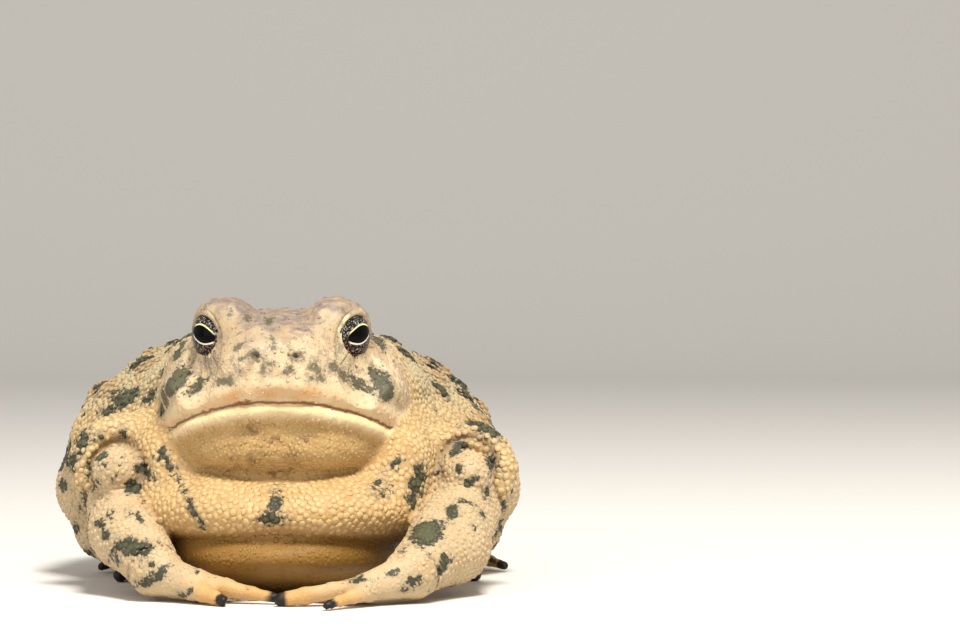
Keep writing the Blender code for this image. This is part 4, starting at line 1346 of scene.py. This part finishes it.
def plain_floor():
    """A pale floor that bends up into a wall: a straight run, a quarter round, and a straight rise."""
    front, bend_start, radius, top, half = -1.5, 1.2, 0.5, 2.2, 3.0
    quarter = np.linspace(0.0, math.pi / 2.0, 25)
    along = np.concatenate([[front], bend_start + radius * np.sin(quarter), [bend_start + radius]])
    rise = np.concatenate([[0.0], radius - radius * np.cos(quarter), [top]])
    steps = len(along)
    profile = np.stack([along, rise], axis=1)
    left = np.concatenate([np.full((steps, 1), -half), profile], axis=1)
    right = np.concatenate([np.full((steps, 1), half), profile], axis=1)
    lower = np.arange(steps - 1)
    quads = np.stack([lower, lower + steps, lower + steps + 1, lower + 1], axis=1)
    floor = mesh_of("floor", np.concatenate([left, right]), [quads])
    floor.data.shade_smooth()
    finish, _, shader = new_material("pale_floor")
    shader.inputs["Base Color"].default_value = (0.72, 0.70, 0.67, 1.0)
    shader.inputs["Roughness"].default_value = 0.9
    floor.data.materials.append(finish)


def lamp(name, place, size, power, colour):
    light = bpy.data.lights.new(name, "AREA")
    light.size = size
    light.energy = power
    light.color = colour
    holder = bpy.data.objects.new(name, light)
    holder.location = place
    holder.rotation_euler = (Vector((0.0, 0.0, 0.02)) - Vector(place)).to_track_quat("-Z", "Y").to_euler()
    bpy.context.scene.collection.objects.link(holder)


def studio():
    world = bpy.data.worlds.new("studio")
    bpy.context.scene.world = world
    world.use_nodes = True
    sky = world.node_tree.nodes["Background"]
    sky.inputs["Color"].default_value = (1.0, 0.975, 0.94, 1.0)
    sky.inputs["Strength"].default_value = 0.55
    lamp("key", (0.16, -0.45, 0.80), 0.22, 12.0, (1.0, 0.96, 0.89))
    lamp("fill", (-0.7, -0.6, 0.35), 0.7, 2.0, (0.95, 0.97, 1.0))


def camera():
    lens = bpy.data.cameras.new("camera")
    lens.lens = LENS
    lens.sensor_width = SENSOR
    holder = bpy.data.objects.new("camera", lens)
    holder.location = Vector(placed(vec(*STATION)))
    holder.rotation_euler = (math.radians(90.0 - STATION_PITCH), 0.0, 0.0)
    bpy.context.scene.collection.objects.link(holder)
    bpy.context.scene.camera = holder
    bpy.context.scene.view_settings.view_transform = "Standard"


FLESH = [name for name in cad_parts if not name.startswith("eye_")]
skin, skin_points = skin_piece()
cover = granule_cover(skin_points)
for name, share in cover.items():
    write_numbers(skin.data, f"cover_{name}", share)
# Skin under the granules reads low, so the material paints shade between them
covered = clamped(cover["coarse"] + 0.6 * cover["fine"] + 0.3 * cover["limb"])
dressed(skin, skin_points, 1.0 - 0.9 * covered)
toad_skin = skin_material()

# Each kind of granule: spacing, radius and height in millimetres
KINDS = {
    "coarse": (0.84, (0.47, 0.70), (0.36, 0.62)),
    "limb": (0.80, (0.42, 0.66), (0.36, 0.60)),
    "fine": (0.62, (0.32, 0.44), (0.16, 0.28)),
    "face": (1.15, (0.22, 0.46), (0.26, 0.46)),
}
for number, (name, (spacing, radius_range, height_range)) in enumerate(KINDS.items()):
    random = np.random.default_rng(SEED + 20 + number)
    seats = scattered(skin, spacing, f"cover_{name}", SEED + number)
    seats = seats[np.argsort(seats[:, 1], kind="stable")]
    groups = np.array_split(seats, max(1, math.ceil(len(seats) / MOST_GRANULES)))
    for part, group in enumerate(groups):
        radii = random.uniform(*radius_range, len(group))
        on = regions(group)
        heights = random.uniform(*height_range, len(group)) * (0.56 + 0.6 * on["back"] + 0.3 * on["flank"])
        label = f"granules_{name}_{part + 1}"
        piece = granule_piece(label, group, radii, heights, SEED + 30 + number, name == "coarse")
        finished(piece, toad_skin, "back_skin")

finished(skin, toad_skin, "face_skin", FLESH)
iris = iris_material()
for side in SIDES:
    finished(lid_piece(side), toad_skin, "face_skin")
    ball_piece = eyeball(side)
    ball_piece.data.materials.append(iris)
    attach(ball_piece, "root")
    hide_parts(f"eye_{side}")
plain_floor()
studio()
camera()
